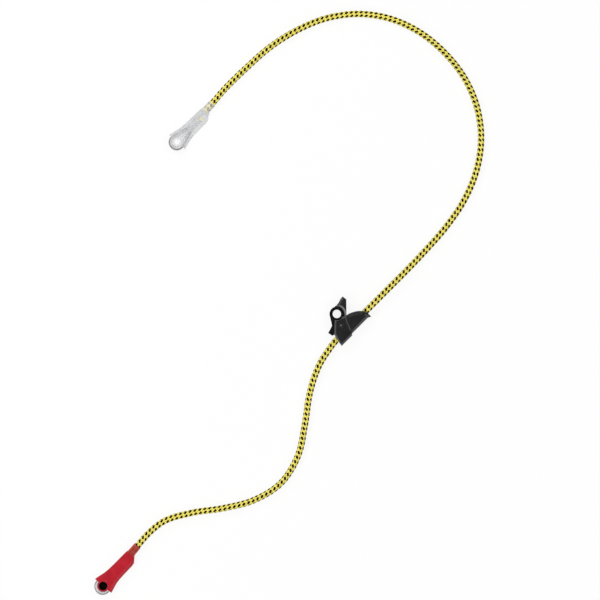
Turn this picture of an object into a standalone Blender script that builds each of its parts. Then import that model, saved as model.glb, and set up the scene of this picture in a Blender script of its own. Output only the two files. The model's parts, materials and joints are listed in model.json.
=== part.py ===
# Tree climbing lanyard: a steel cored rope with a thimble eye at each end and a cam adjuster on it.
# It lies on the surface z = 0, with +X to the right and +Y away, as it is seen from above.
# The frame's origin is on that surface, under the middle of the box round the adjuster and the two ends.

import math

import bmesh
import bpy
from mathutils import Matrix, Vector

# Fits and cutters
FIT_GAP = 0.0003
CUT_OVERRUN = 0.003

# Rope: a braided sheath over a steel cable
ROPE_DIAMETER = 0.012
CORE_DIAMETER = 0.0048
CORE_GAP = 0.0004
ROPE_RING_SPACING = 0.027
LOOP_RING_SPACING = 0.0036

# Adjuster: where it stands on the rope, and its shell
ADJUSTER_X = 0.2158
ADJUSTER_Y = 0.0323
ADJUSTER_ANGLE = math.radians(45)
SLIDE_TRAVEL = 0.100
SHELL_LENGTH = 0.080
CHEEK_RISE = 0.030
CHEEK_SPACING = 0.014
CHEEK_WALL = 0.0026
BOSS_RAISE = 0.0008
BOSS_SLOPE = 0.0020
BACK_ROOM = 0.0028
BACK_RIB = 0.0029
RIM_BEVEL_WIDTH = 0.0032
RIM_BEVEL_DEPTH = 0.0016
LIP_FLARE = 0.0030
LIP_LENGTH = 0.0042
LIP_WALL = 0.0022
FUNNEL_DEPTH = 0.0030
FUNNEL_FLARE = 0.0012

# Pivot, and the pieces that turn on it
PIVOT_DIAMETER = 0.006
PIVOT_HEAD_DIAMETER = 0.0096
PIVOT_HEAD_DEPTH = 0.0018
PIVOT_DOME = 0.0005
HEAD_RIM_SHARE = 0.2
HEAD_TAPER_SHARE = 0.1
BUSH_WALL = 0.0010
WASHER_THICKNESS = 0.0005
WASHER_DIAMETER = 0.0096
SPRING_WIRE = 0.0011
SPRING_MEAN_DIAMETER = 0.0114
SPRING_PITCH = 0.0016
SPRING_TURNS = 3
SPRING_LEG = 0.0034
SPRING_LEG_ANGLE = math.radians(62)
RELEASE_ANGLE = math.radians(28)

# Cam: attachment eye, toothed lobe and tail fin
CAM_THICKNESS = CHEEK_SPACING - 2 * WASHER_THICKNESS - 4 * FIT_GAP
EYE_DIAMETER = 0.016
EYE_RING_WALL = 0.0059
EYE_NOTCH_RADIUS = 0.0122
EYE_OFFSET_ALONG = 0.0099
EYE_OFFSET_ACROSS = 0.0210
EYE_CHAMFER = 0.0014
CAM_EDGE = 0.0005
LOBE_LENGTH = 0.0260
TOOTH_PITCH = 0.0023
TOOTH_DEPTH = 0.0009
TANG_LENGTH_SHARE = 0.63
TANG_WIDTH = 0.0050
TANG_THICKNESS = 0.0050
TANG_ANGLE = math.radians(18)

# Thumb lever on the cam's tang
LEVER_REACH = 0.0207
HEEL_REACHES = (0.0037, 0.0051)
LEVER_THICKNESS = 0.0124
LEVER_ROUND = 0.0003
PAD_WIDTH = 0.0168
PAD_DEPTH = 0.0036
PAD_LEAN = 0.4
RIB_DEPTH = 0.0006
RIB_COUNT = 8
SCOOP_DEPTH = 0.0022
SCOOP_REACH = 0.0036

# Ends: an eye with its direction towards the rope, and what is built round it
CLEAR_EYE_X = -0.1058
CLEAR_EYE_Y = 0.3903
CLEAR_ANGLE = math.radians(47.7)
RED_EYE_X = -0.2455
RED_EYE_Y = -0.4516
RED_ANGLE = math.radians(49.4)
SLEEVE_LENGTH = 0.100
SLEEVE_WIDTH = 0.0407
SLEEVE_HEIGHT = 0.014
SLEEVE_WALL = 0.0016
MOUTH_WALL = 0.0010
SHEATH_INSET_SHARE = 0.20
LOOP_RADIUS = 0.0126
THIMBLE_WALL = 0.0015
CLEAR_FLANGE = 0.0030
RED_FLANGE = 0.0048
LEG_FLANGE = 0.0024
STRAND_GAP = 0.0014
STRAND_SHIFT = 0.0012
LEG_SHARES = (0.08, 0.86)
LEAD_SHARE = 0.8
FERRULE_START_SHARE = 0.38
FERRULE_LENGTH_SHARE = 0.23
FERRULE_WALL = 0.0011
TAIL_LENGTH = 0.0028
TAIL_CAP_WALL = 0.0007
TAIL_CAP_LENGTH = 0.0048
SEAL_LENGTH = 0.007
SEAL_NOSE_WALL = 0.0009
TONGUE_WIDTH = 0.0021
INSERT_HEIGHT = 0.0126
INSERT_HOLE = 0.0102
INSERT_WEB = 0.0030
INSERT_ROUND = 0.0009

# Lengths along an end
SHEATH_INSET = SHEATH_INSET_SHARE * SLEEVE_LENGTH
FERRULE_START = FERRULE_START_SHARE * SLEEVE_LENGTH
FERRULE_LENGTH = FERRULE_LENGTH_SHARE * SLEEVE_LENGTH

# Heights above the surface
END_HEIGHT = SLEEVE_HEIGHT / 2
BOSS_HALF = CHEEK_SPACING / 2 + CHEEK_WALL + BOSS_RAISE
ROPE_RADIUS = ROPE_DIAMETER / 2
CORE_RADIUS = CORE_DIAMETER / 2
CHANNEL_HALF = CHEEK_SPACING / 2
ROPE_DROP = CHANNEL_HALF - ROPE_RADIUS - FIT_GAP
ROPE_HEIGHT_IN_ADJUSTER = BOSS_HALF - ROPE_DROP

# Places on the shell, measured along the rope and across it from the foot of the pivot
PIVOT_ACROSS = ROPE_RADIUS + FIT_GAP + 0.0081
LOBE_RADIUS = PIVOT_ACROSS - ROPE_RADIUS - FIT_GAP
EYE_RING_RADIUS = EYE_DIAMETER / 2 + EYE_RING_WALL

# Free rope from the clear end's sleeve to the adjuster, and from there to the red end's sleeve
UPPER_ROUTE = [
    (-0.0177, 0.4882, 0.0062),
    (0.0257, 0.5309, 0.0062),
    (0.0714, 0.5708, 0.0062),
    (0.1231, 0.6031, 0.0062),
    (0.1794, 0.6257, 0.0062),
    (0.2396, 0.6337, 0.0062),
    (0.2996, 0.6246, 0.0062),
    (0.3549, 0.5991, 0.0062),
    (0.4020, 0.5607, 0.0062),
    (0.4397, 0.5130, 0.0062),
    (0.4638, 0.4572, 0.0062),
    (0.4718, 0.3969, 0.0062),
    (0.4632, 0.3369, 0.0062),
    (0.4399, 0.2807, 0.0062),
    (0.4060, 0.2303, 0.0063),
    (0.3651, 0.1835, 0.0072),
]
LOWER_ROUTE = [
    (0.1833, -0.0030, 0.0092),
    (0.1668, -0.0287, 0.0079),
    (0.1549, -0.0568, 0.0068),
    (0.1467, -0.0860, 0.0063),
    (0.1373, -0.1461, 0.0062),
    (0.1239, -0.2054, 0.0062),
    (0.0918, -0.2567, 0.0062),
    (0.0407, -0.2890, 0.0062),
    (-0.0182, -0.3045, 0.0062),
    (-0.0785, -0.3135, 0.0062),
    (-0.1349, -0.3320, 0.0063),
    (-0.1599, -0.3527, 0.0064),
]

# Cheek outline, as shares of the shell's length along the rope and of the cheek's rise across it
CHEEK_ENTRY_SHARES = [(-0.343, -0.60), (-0.297, 0.08), (-0.259, 0.40), (-0.020, 1.00), (0.245, 0.71)]
CHEEK_DOME_SHARES = [
    (0.245, 0.71),
    (0.354, 0.627),
    (0.468, 0.470),
    (0.556, 0.297),
    (0.625, 0.067),
    (0.655, -0.173),
]
CHEEK_END_SHARES = [(0.655, -0.60)]
SHELL_ENTRY_SHARE = -0.343
SHELL_TIP_SHARE = 0.655
STRAIGHT_RUN_SHARES = (-0.45, 0.70)
BOSS_EDGE_SHARES = [
    (0.270, 0.780),
    (0.236, 0.647),
    (0.168, 0.380),
    (0.140, 0.160),
    (0.119, 0.027),
    (0.071, -0.253),
    (0.0125, -0.480),
    (0.0125, -0.700),
]
BOSS_FAR_SHARES = [(-0.500, -0.700), (-0.500, 1.200), (0.270, 1.200)]

# Cam outline below and left of the eye, as shares of the lobe's length, from the pivot
SHOE_SHARES = [(-0.255, -0.290), (-0.512, -0.236), (-0.730, -0.170), (-0.920, -0.118), (-0.985, -0.065)]
FIN_SHARES = [(-1.052, 0.269), (-0.796, 0.342), (-0.485, 0.445), (-0.372, 0.602)]
CAM_RIGHT_SHARES = [(0.600, 0.170)]
RING_START = math.radians(150)
RING_END = math.radians(-50)
LOBE_START = math.radians(-25)
LOBE_END = math.radians(-90)

# Lever outline round the eye: direction in degrees, and how far out from the ring as a share of the reach
LEVER_CORNER_SHARES = [(12.3, 0.915)]
LEVER_EDGE_SHARES = [(27.0, 1.000), (31.4, 0.667), (37.6, 0.295), (49.5, 0.087), (60.0, 0.045)]
HEEL_DIRECTIONS = (-66.4, -64.6)
LEVER_ARC_START = math.radians(59)
LEVER_ARC_END = math.radians(-46)

# Sleeve outline: place along it as a share of its length, and its left and right edges from the axis
# as shares of its width
SLEEVE_SHARES = [
    (0.000, 0.501, -0.504),
    (0.104, 0.435, -0.452),
    (0.209, 0.358, -0.398),
    (0.380, 0.297, -0.392),
    (0.570, 0.260, -0.412),
    (0.700, 0.238, -0.408),
    (0.765, 0.226, -0.296),
]
SLEEVE_NECK_SHARE = 0.828
SLEEVE_CAVITY_START_SHARE = -0.25
CAVITY_STEP_SHARES = (0.60, 0.68)
FLAT_POWER = 3.4
CAVITY_POWER = 14
NECK_POWER = 2.6
SECTION_POINTS = 24
SLEEVE_STEPS = 2


# Scene, collections and materials


def clear_scene():
    for obj in list(bpy.data.objects):
        bpy.data.objects.remove(obj, do_unlink=True)


def new_collection(name):
    made = bpy.data.collections.new(name)
    bpy.context.scene.collection.children.link(made)
    return made


def principled(name, colour, roughness, metallic=0.0, alpha=1.0):
    material = bpy.data.materials.new(name)
    material.use_nodes = True
    shader = material.node_tree.nodes["Principled BSDF"]
    shader.inputs["Base Color"].default_value = (*colour, 1.0)
    shader.inputs["Roughness"].default_value = roughness
    shader.inputs["Metallic"].default_value = metallic
    shader.inputs["Alpha"].default_value = alpha
    material.diffuse_color = (*colour, alpha)
    return material


# Frames: one empty for each place that pieces are built round


def new_empty(name, location, angle, parent=None):
    empty = bpy.data.objects.new(name, None)
    empty.location = location
    empty.rotation_euler = (0, 0, angle)
    empty.parent = parent
    PARTS.objects.link(empty)
    bpy.context.view_layer.update()
    return empty


def place(obj, frame):
    obj.parent = frame
    return obj


def finish(obj, name, material, frame=None):
    obj.name = name
    obj.data.name = name
    obj.data.materials.clear()
    obj.data.materials.append(material)
    if frame:
        place(obj, frame)
    if obj.type == "MESH":
        obj.data.shade_smooth()
        obj.data.set_sharp_from_angle(angle=math.radians(35))
    return obj


# Shape helpers


def mesh_object(name, bm, collection=None):
    mesh = bpy.data.meshes.new(name)
    bmesh.ops.recalc_face_normals(bm, faces=bm.faces)
    bm.to_mesh(mesh)
    bm.free()
    obj = bpy.data.objects.new(name, mesh)
    (collection or PARTS).objects.link(obj)
    return obj


def to_mesh(obj, merge=1e-6):
    """Turns a curve, or a mesh with modifiers, into a plain mesh object with its points merged."""
    bpy.context.view_layer.update()
    graph = bpy.context.evaluated_depsgraph_get()
    mesh = bpy.data.meshes.new_from_object(obj.evaluated_get(graph))
    bm = bmesh.new()
    bm.from_mesh(mesh)
    bmesh.ops.remove_doubles(bm, verts=bm.verts, dist=merge)
    bm.to_mesh(mesh)
    bm.free()
    made = bpy.data.objects.new(obj.name + "_mesh", mesh)
    made.matrix_world = obj.matrix_world
    for owner in obj.users_collection:
        owner.objects.link(made)
    bpy.data.objects.remove(obj, do_unlink=True)
    return made


def prism(name, points, half_height, inset=None, collection=None):
    """An outline in X and Y extruded to both sides of z = 0, with its rims cut back by inset (width, depth)."""
    bm = bmesh.new()
    depth = inset[1] if inset else 0
    low = [bm.verts.new((x, y, -half_height + depth)) for x, y in points]
    base = bm.faces.new(low)
    made = bmesh.ops.extrude_face_region(bm, geom=[base])
    moved = [item for item in made["geom"] if isinstance(item, bmesh.types.BMVert)]
    bmesh.ops.translate(bm, verts=moved, vec=(0, 0, 2 * (half_height - depth)))
    bmesh.ops.recalc_face_normals(bm, faces=bm.faces)
    if inset:
        ends = [face for face in bm.faces if abs(face.normal.z) > 0.9]
        for face in ends:
            bmesh.ops.inset_region(bm, faces=[face], thickness=inset[0], depth=depth, use_even_offset=True)
    return mesh_object(name, bm, collection)


def cylinder(name, radius, low, high, centre=(0, 0), segments=32, top_radius=None, collection=None):
    bm = bmesh.new()
    bmesh.ops.create_cone(
        bm,
        cap_ends=True,
        segments=segments,
        radius1=radius,
        radius2=radius if top_radius is None else top_radius,
        depth=high - low,
        matrix=Matrix.Translation((centre[0], centre[1], (low + high) / 2)),
    )
    return mesh_object(name, bm, collection)


def box(name, low, high, collection=None):
    bm = bmesh.new()
    size = [high[i] - low[i] for i in range(3)]
    middle = [(high[i] + low[i]) / 2 for i in range(3)]
    matrix = Matrix.Translation(middle) @ Matrix.Diagonal((*size, 1))
    bmesh.ops.create_cube(bm, size=1, matrix=matrix)
    return mesh_object(name, bm, collection)


def turned(name, profile, steps=32, collection=None):
    """A profile of (radius, height) points, closed on the axis or as a ring, turned round Z."""
    mesh = bpy.data.meshes.new(name)
    bm = bmesh.new()
    verts = [bm.verts.new((radius, 0, height)) for radius, height in profile]
    closed = profile[0][0] > 0
    pairs = list(zip(verts, verts[1:])) + ([(verts[-1], verts[0])] if closed else [])
    for first, second in pairs:
        bm.edges.new((first, second))
    bm.to_mesh(mesh)
    bm.free()
    obj = bpy.data.objects.new(name, mesh)
    (collection or PARTS).objects.link(obj)
    screw = obj.modifiers.new("Turn", "SCREW")
    screw.steps = screw.render_steps = steps
    screw.use_merge_vertices = True
    screw.merge_threshold = 1e-6
    made = to_mesh(obj)
    facing_out(made)
    return made


def facing_out(obj):
    bm = bmesh.new()
    bm.from_mesh(obj.data)
    bmesh.ops.recalc_face_normals(bm, faces=bm.faces)
    bm.to_mesh(obj.data)
    bm.free()


def combine(target, other, operation):
    """Applies one Boolean to target and keeps the other piece as a hidden cutter."""
    modifier = target.modifiers.new(operation.title(), "BOOLEAN")
    modifier.operation = operation
    modifier.object = other
    modifier.solver = "EXACT"
    made = to_mesh(target)
    bpy.data.objects.remove(other, do_unlink=True)
    return made


def cut(target, *cutters):
    for cutter in cutters:
        target = combine(target, cutter, "DIFFERENCE")
    return target


def join(target, *others):
    for other in others:
        target = combine(target, other, "UNION")
    return target


def keep_inside(target, *others):
    for other in others:
        target = combine(target, other, "INTERSECT")
    return target


def scaled(shares, length, rise=None):
    return [(u * length, v * (length if rise is None else rise)) for u, v in shares]


def arc(centre, radius, start, end, steps):
    turn = [start + (end - start) * i / steps for i in range(steps + 1)]
    return [(centre[0] + radius * math.cos(a), centre[1] + radius * math.sin(a)) for a in turn]


def smooth_through(points, steps):
    """Points of a smooth curve through the given ones, with its pace set by their spacing."""
    points = [Vector(p) for p in points]
    count = len(points)
    knots = [0.0]
    for first, second in zip(points, points[1:]):
        knots.append(knots[-1] + (second - first).length)
    slopes = []
    for i in range(count):
        low, high = max(i - 1, 0), min(i + 1, count - 1)
        if low == i or high == i:
            slopes.append((points[high] - points[low]) / (knots[high] - knots[low]))
            continue
        before = (points[i] - points[low]) / (knots[i] - knots[low])
        after = (points[high] - points[i]) / (knots[high] - knots[i])
        weight = (knots[i] - knots[low]) / (knots[high] - knots[low])
        slopes.append(before * (1 - weight) + after * weight)
    made = []
    for i in range(count - 1):
        span = knots[i + 1] - knots[i]
        for step in range(steps):
            t = step / steps
            made.append(
                points[i] * (2 * t**3 - 3 * t**2 + 1)
                + slopes[i] * span * (t**3 - 2 * t**2 + t)
                + points[i + 1] * (3 * t**2 - 2 * t**3)
                + slopes[i + 1] * span * (t**3 - t**2)
            )
    made.append(points[-1])
    return made


def evenly_spaced(points, spacing):
    """The same line with points at equal steps near the spacing."""
    lengths = [0.0]
    for first, second in zip(points, points[1:]):
        lengths.append(lengths[-1] + (second - first).length)
    count = max(2, round(lengths[-1] / spacing))
    made = []
    at = 0
    for i in range(count + 1):
        want = lengths[-1] * i / count
        while at < len(points) - 2 and lengths[at + 1] < want:
            at += 1
        share = (want - lengths[at]) / (lengths[at + 1] - lengths[at])
        made.append(points[at].lerp(points[at + 1], share))
    return made


def line_length(points):
    return sum((second - first).length for first, second in zip(points, points[1:]))


def poly_curve(name, points, radius, sides_step, caps=True):
    """A round tube along the points: sides_step 2 gives 8 sides and 4 gives 12."""
    data = bpy.data.curves.new(name, "CURVE")
    data.dimensions = "3D"
    data.bevel_depth = radius
    data.bevel_resolution = sides_step
    data.use_fill_caps = caps
    data.twist_mode = "MINIMUM"
    spline = data.splines.new("POLY")
    spline.points.add(len(points) - 1)
    for point, place_at in zip(spline.points, points):
        point.co = (*place_at, 1)
    obj = bpy.data.objects.new(name, data)
    PARTS.objects.link(obj)
    return obj


# Routes of the rope and of its steel core


def at_end(frame, x, y):
    return frame.matrix_world @ Vector((x, y, 0))


def rope_line():
    """The rope's centre line from one sheath end to the other."""
    sheath_start = SLEEVE_LENGTH - SHEATH_INSET
    clear = [at_end(CLEAR_FRAME, x, 0) for x in (sheath_start, SLEEVE_LENGTH)]
    red = [at_end(RED_FRAME, x, 0) for x in (SLEEVE_LENGTH, sheath_start)]
    low, high = (share * SHELL_LENGTH for share in STRAIGHT_RUN_SHARES)
    high += SLIDE_TRAVEL
    run = [high + (low - high) * i / RUN_STEPS for i in range(RUN_STEPS + 1)]
    drop = ROPE_HEIGHT_IN_ADJUSTER - BOSS_HALF
    through = [ADJUSTER_FRAME.matrix_world @ Vector((u, 0, drop)) for u in run]
    return clear + [Vector(p) for p in UPPER_ROUTE] + through + [Vector(p) for p in LOWER_ROUTE] + red


RUN_STEPS = 5


def strand_places():
    """Sideways places of the two cable strands in a ferrule: the one from the rope, then the tail."""
    half = CORE_RADIUS + STRAND_GAP / 2
    return -STRAND_SHIFT + half, -STRAND_SHIFT - half


def tangent_angle(x, y):
    """Direction from the eye's centre to where a strand at (x, y) leaves the loop."""
    return math.atan2(y, x), math.acos(LOOP_RADIUS / math.hypot(x, y))


def loop_arc():
    """Start and end directions of the cable's round turn about the eye, from the rope's strand to the tail."""
    rope_side, tail_side = strand_places()
    heading, opening = tangent_angle(FERRULE_START, rope_side)
    start = heading + opening
    heading, opening = tangent_angle(FERRULE_START, tail_side)
    return start, heading - opening + 2 * math.pi


def loop_line():
    """The cable in an end's own frame, from inside the rope round the eye to the tail's end."""
    rope_side, tail_side = strand_places()
    ferrule_end = FERRULE_START + FERRULE_LENGTH
    start, end = loop_arc()
    turn = arc((0, 0), LOOP_RADIUS, start, end, 14)
    joins = [(turn[0], (FERRULE_START, rope_side)), (turn[-1], (FERRULE_START, tail_side))]
    leg_in, leg_out = ([Vector(near).lerp(Vector(far), share) for share in LEG_SHARES] for near, far in joins)
    turn = [tuple(p) for p in leg_in[::-1]] + turn + [tuple(p) for p in leg_out]
    bare = SLEEVE_LENGTH - SHEATH_INSET
    lead = [
        (bare + SHEATH_INSET / 2, 0),
        (bare, 0),
        (bare - SEAL_LENGTH, 0),
        (ferrule_end + TAIL_CAP_LENGTH, LEAD_SHARE * rope_side),
        (ferrule_end, rope_side),
        (FERRULE_START + FERRULE_LENGTH / 2, rope_side),
        (FERRULE_START, rope_side),
    ]
    tail = [
        (FERRULE_START, tail_side),
        (FERRULE_START + FERRULE_LENGTH / 2, tail_side),
        (ferrule_end, tail_side),
        (ferrule_end + TAIL_LENGTH, tail_side),
    ]
    return smooth_through([(x, y, 0) for x, y in lead + turn + tail], 4)


# Rope


def build_rope():
    line = rope_line()
    smooth = smooth_through(line, 12)
    rings = evenly_spaced(smooth, ROPE_RING_SPACING)
    tube = poly_curve("rope", rings, ROPE_RADIUS, 4, caps=False)
    wall = ROPE_RADIUS - CORE_RADIUS - CORE_GAP
    hollow = to_mesh(tube)
    facing_out(hollow)
    thicken = hollow.modifiers.new("Wall", "SOLIDIFY")
    thicken.thickness = wall
    thicken.offset = -1
    thicken.use_even_offset = True
    sheath = to_mesh(hollow)
    facing_out(sheath)
    finish(sheath, "rope_sheath", YELLOW_ROPE)

    loops = {}
    for frame in (CLEAR_FRAME, RED_FRAME):
        points = [frame.matrix_world @ p for p in loop_line()]
        loops[frame.name] = evenly_spaced(points, LOOP_RING_SPACING)
    inner = rings[1:-1]
    core_points = loops[CLEAR_FRAME.name][::-1] + inner + loops[RED_FRAME.name]
    core = to_mesh(poly_curve("core", core_points, CORE_RADIUS, 2))
    finish(core, "steel_core", STEEL_CABLE)
    print("rope length, sheath end to sheath end:", round(line_length(smooth), 4))


# Ends


def sleeve_section(x, left, right, half_height, power):
    """One closed section of a sleeve: a rounded form from the right edge to the left one."""
    middle, half_width = (left + right) / 2, (left - right) / 2
    made = []
    for i in range(SECTION_POINTS):
        turn = 2 * math.pi * i / SECTION_POINTS
        c, s = math.cos(turn), math.sin(turn)
        y = middle + half_width * math.copysign(abs(c) ** (2 / power), c)
        z = half_height * math.copysign(abs(s) ** (2 / power), s)
        made.append(Vector((x, y, z)))
    return made


def loft(name, sections):
    bm = bmesh.new()
    rings = [[bm.verts.new(p) for p in section] for section in sections]
    for first, second in zip(rings, rings[1:]):
        for i in range(len(first)):
            j = (i + 1) % len(first)
            bm.faces.new((first[i], first[j], second[j], second[i]))
    bm.faces.new(rings[0])
    bm.faces.new(rings[-1])
    return mesh_object(name, bm)


def sleeve_rows(steps):
    """Places along the sleeve with its left and right edges, on smooth curves through the outline's own points."""
    size = (SLEEVE_LENGTH, SLEEVE_WIDTH, SLEEVE_WIDTH)
    rows = [[share * length for share, length in zip(row, size)] for row in SLEEVE_SHARES]
    return [tuple(row) for row in smooth_through(rows, steps)]


def sleeve_outside():
    half = SLEEVE_HEIGHT / 2
    mouth = ROPE_RADIUS + FIT_GAP + MOUTH_WALL
    neck = (SLEEVE_NECK_SHARE * SLEEVE_LENGTH, mouth + MOUTH_WALL / 2, -mouth - MOUTH_WALL / 2)
    sections = []
    for x, left, right in sleeve_rows(SLEEVE_STEPS):
        power = FLAT_POWER + (2 - FLAT_POWER) * x / SLEEVE_LENGTH
        sections.append(sleeve_section(x, left, right, half, power))
    sections.append(sleeve_section(*neck, half, 2))
    sections.append(sleeve_section(SLEEVE_LENGTH, mouth, -mouth, half, 2))
    return loft("sleeve", sections)


def sleeve_cavity():
    """The room inside: flat round the thimble and ferrule, then round and as wide as the rope."""
    flat = THIMBLE_HALF + FIT_GAP
    bore = ROPE_RADIUS + FIT_GAP
    rows = sleeve_rows(1)
    first = rows[0]
    start = SLEEVE_CAVITY_START_SHARE * SLEEVE_LENGTH
    wall = SLEEVE_WALL
    sections = [sleeve_section(start, first[1] - wall, first[2] + wall, flat, CAVITY_POWER)]
    step_low, step_high = (share * SLEEVE_LENGTH for share in CAVITY_STEP_SHARES)
    for x, left, right in rows[:-1]:
        if x > step_low:
            continue
        sections.append(sleeve_section(x, left - wall, right + wall, flat, CAVITY_POWER))
    for x, left, right in rows[-2:]:
        height = bore - FIT_GAP * (x < step_high + SEAL_LENGTH)
        sections.append(sleeve_section(x, left - wall, right + wall, height, NECK_POWER))
    neck = SLEEVE_NECK_SHARE * SLEEVE_LENGTH
    sections.append(sleeve_section(neck, bore, -bore, bore, 2))
    sections.append(sleeve_section(SLEEVE_LENGTH + CUT_OVERRUN, bore, -bore, bore, 2))
    return loft("cavity", sections)


THIMBLE_HALF = CORE_RADIUS + FIT_GAP + THIMBLE_WALL
THIMBLE_INNER = LOOP_RADIUS - CORE_RADIUS - FIT_GAP - THIMBLE_WALL


def build_sleeve(name, material, frame):
    half = SLEEVE_HEIGHT / 2
    rim = THIMBLE_INNER + TONGUE_WIDTH
    step = half - THIMBLE_HALF
    profile = [
        (0, half - step / 8),
        (rim - step / 2, half - step / 8),
        (rim, half - step / 2),
        (rim, -half + step / 2),
        (rim - step / 2, -half + step / 8),
        (0, -half + step / 8),
    ]
    body = join(sleeve_outside(), turned("tongue", profile))
    hole = cylinder("hole", THIMBLE_INNER, -SLEEVE_HEIGHT, SLEEVE_HEIGHT)
    body = cut(body, sleeve_cavity(), hole)
    finish(body, name, material, frame)


def thimble_ends():
    """How far the thimble's legs run towards the rope before their inner faces would meet."""
    rope_side, tail_side = strand_places()
    start, end = loop_arc()
    apart = CORE_RADIUS + FIT_GAP + THIMBLE_WALL + FIT_GAP
    ends = []
    for angle, side in ((start, rope_side), (end, tail_side)):
        x0, y0 = LOOP_RADIUS * math.cos(angle), LOOP_RADIUS * math.sin(angle)
        slope = (side - y0) / (FERRULE_START - x0)
        lean = -STRAND_SHIFT / FERRULE_START
        sign = math.copysign(1, y0)
        x = (sign * apart - y0 + slope * x0) / (slope - lean)
        ends.append((x, y0 + slope * (x - x0)))
    return ends


def thimble_section(flange):
    """The channel's section: how far out from the cable's centre, and how high."""
    inner = CORE_RADIUS + FIT_GAP
    return [
        (flange, inner),
        (-inner / 2, inner),
        (-inner, inner / 2),
        (-inner, -inner / 2),
        (-inner / 2, -inner),
        (flange, -inner),
        (flange, -THIMBLE_HALF),
        (-inner, -THIMBLE_HALF),
        (-inner - THIMBLE_WALL, -inner / 2),
        (-inner - THIMBLE_WALL, inner / 2),
        (-inner, THIMBLE_HALF),
        (flange, THIMBLE_HALF),
    ]


def build_thimble(name, material, frame, flange):
    """A channel swept along the cable's loop, with its flanges outward and open at the throat."""
    start, end = loop_arc()
    first, last = thimble_ends()
    turn = arc((0, 0), LOOP_RADIUS, start, end, 20)
    path = [first] + turn + [last]
    sections = []
    for i, (x, y) in enumerate(path):
        before = Vector(path[max(i - 1, 0)])
        after = Vector(path[min(i + 1, len(path) - 1)])
        along = (after - before).normalized()
        out = Vector((along.y, -along.x)) if along.cross(Vector((x, y))) < 0 else Vector((-along.y, along.x))
        from_crown = abs(2 * i / (len(path) - 1) - 1)
        section = thimble_section(flange - (flange - LEG_FLANGE) * from_crown**2)
        sections.append([Vector((x + out.x * n, y + out.y * n, z)) for n, z in section])
    body = loft(name, sections)
    finish(body, name, material, frame)


def stadium(half_length, radius, centre, steps):
    right = arc((centre[0], centre[1] - half_length), radius, -math.pi, 0, steps)
    left = arc((centre[0], centre[1] + half_length), radius, 0, math.pi, steps)
    return right + left


def build_ferrule(name, material, frame):
    """A flattened tube over both strands, made standing and laid along the end."""
    rope_side, tail_side = strand_places()
    half_length = (rope_side - tail_side) / 2
    inner = CORE_RADIUS + FIT_GAP
    middle = (0, (rope_side + tail_side) / 2)
    half = FERRULE_LENGTH / 2
    body = prism("body", stadium(half_length, inner + FERRULE_WALL, middle, 10), half, (FERRULE_WALL / 3,) * 2)
    hole = prism("hole", stadium(half_length, inner, middle, 8), half + CUT_OVERRUN)
    body = cut(body, hole)
    turn = Matrix.Translation((FERRULE_START + half, 0, 0)) @ Matrix.Rotation(math.pi / 2, 4, "Y")
    body.data.transform(turn)
    finish(body, name, material, frame)


def lie_along(obj, x, y):
    """Turns a piece made round Z to lie along the end, with its z = 0 at x."""
    obj.data.transform(Matrix.Translation((x, y, 0)) @ Matrix.Rotation(math.pi / 2, 4, "Y"))


def build_tail_cap(name, material, frame):
    inner = CORE_RADIUS + FIT_GAP
    outer = inner + TAIL_CAP_WALL
    depth = TAIL_LENGTH
    profile = [
        (0, depth + FIT_GAP),
        (inner, depth + FIT_GAP),
        (inner, FIT_GAP),
        (outer, FIT_GAP),
        (outer, TAIL_CAP_LENGTH - TAIL_CAP_WALL),
        (outer - TAIL_CAP_WALL, TAIL_CAP_LENGTH),
        (0, TAIL_CAP_LENGTH),
    ]
    body = turned(name, profile, 16)
    lie_along(body, FERRULE_START + FERRULE_LENGTH, strand_places()[1])
    finish(body, name, material, frame)


def build_seal(name, material, frame):
    """A tapered collar that closes the cut end of the sheath onto the cable."""
    inner = CORE_RADIUS + FIT_GAP
    nose = inner + SEAL_NOSE_WALL
    foot = ROPE_RADIUS - FIT_GAP
    profile = [
        (inner, -FIT_GAP),
        (foot, -FIT_GAP),
        (foot, -SEAL_LENGTH / 3),
        (nose, -SEAL_LENGTH),
        (inner, -SEAL_LENGTH),
    ]
    body = turned(name, profile, 20)
    lie_along(body, SLEEVE_LENGTH - SHEATH_INSET, 0)
    finish(body, name, material, frame)


def build_insert(name, material, frame, hole):
    """The bush in the eye: a ring with a hole, or one closed by a dished web."""
    outer = THIMBLE_INNER - FIT_GAP
    half = INSERT_HEIGHT / 2
    inner = INSERT_HOLE / 2
    edge = INSERT_ROUND
    if hole:
        profile = [
            (inner, half - edge),
            (inner + edge, half),
            (outer - edge, half),
            (outer, half - edge),
            (outer, -half + edge),
            (outer - edge, -half),
            (inner + edge, -half),
            (inner, -half + edge),
        ]
    else:
        web = INSERT_WEB / 2
        profile = [
            (0, web),
            (inner - edge, web + edge / 2),
            (inner + edge, half),
            (outer - edge, half),
            (outer, half - edge),
            (outer, -half + edge),
            (outer - edge, -half),
            (inner + edge, -half),
            (inner - edge, -web - edge / 2),
            (0, -web),
        ]
    finish(turned(name, profile), name, material, frame)


# Adjuster shell


def channel_bar(name, half_height, back, low, high):
    """A bar along the rope with flat sides and a half round back, open past the cheeks' far edge."""
    centre = back + half_height
    steps = 12
    section = arc((centre, 0), half_height, -math.pi / 2, -3 * math.pi / 2, steps)
    far = 2 * CHEEK_RISE
    outline = section + [(far, half_height), (far, -half_height)]
    bar = prism(name, outline, (high - low) / 2)
    # The outline's X is across the rope and its Y is up, and the bar's own Z runs along the rope.
    axes = Matrix(((0, 0, 1, (low + high) / 2), (1, 0, 0, 0), (0, 1, 0, 0), (0, 0, 0, 1)))
    bar.data.transform(axes)
    return bar


def flat_curve(shares, steps):
    """A smooth line across the cheek through places given as shares of its length and rise."""
    places = [(along, across, 0) for along, across in scaled(shares, SHELL_LENGTH, CHEEK_RISE)]
    return [(point.x, point.y) for point in smooth_through(places, steps)]


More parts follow.
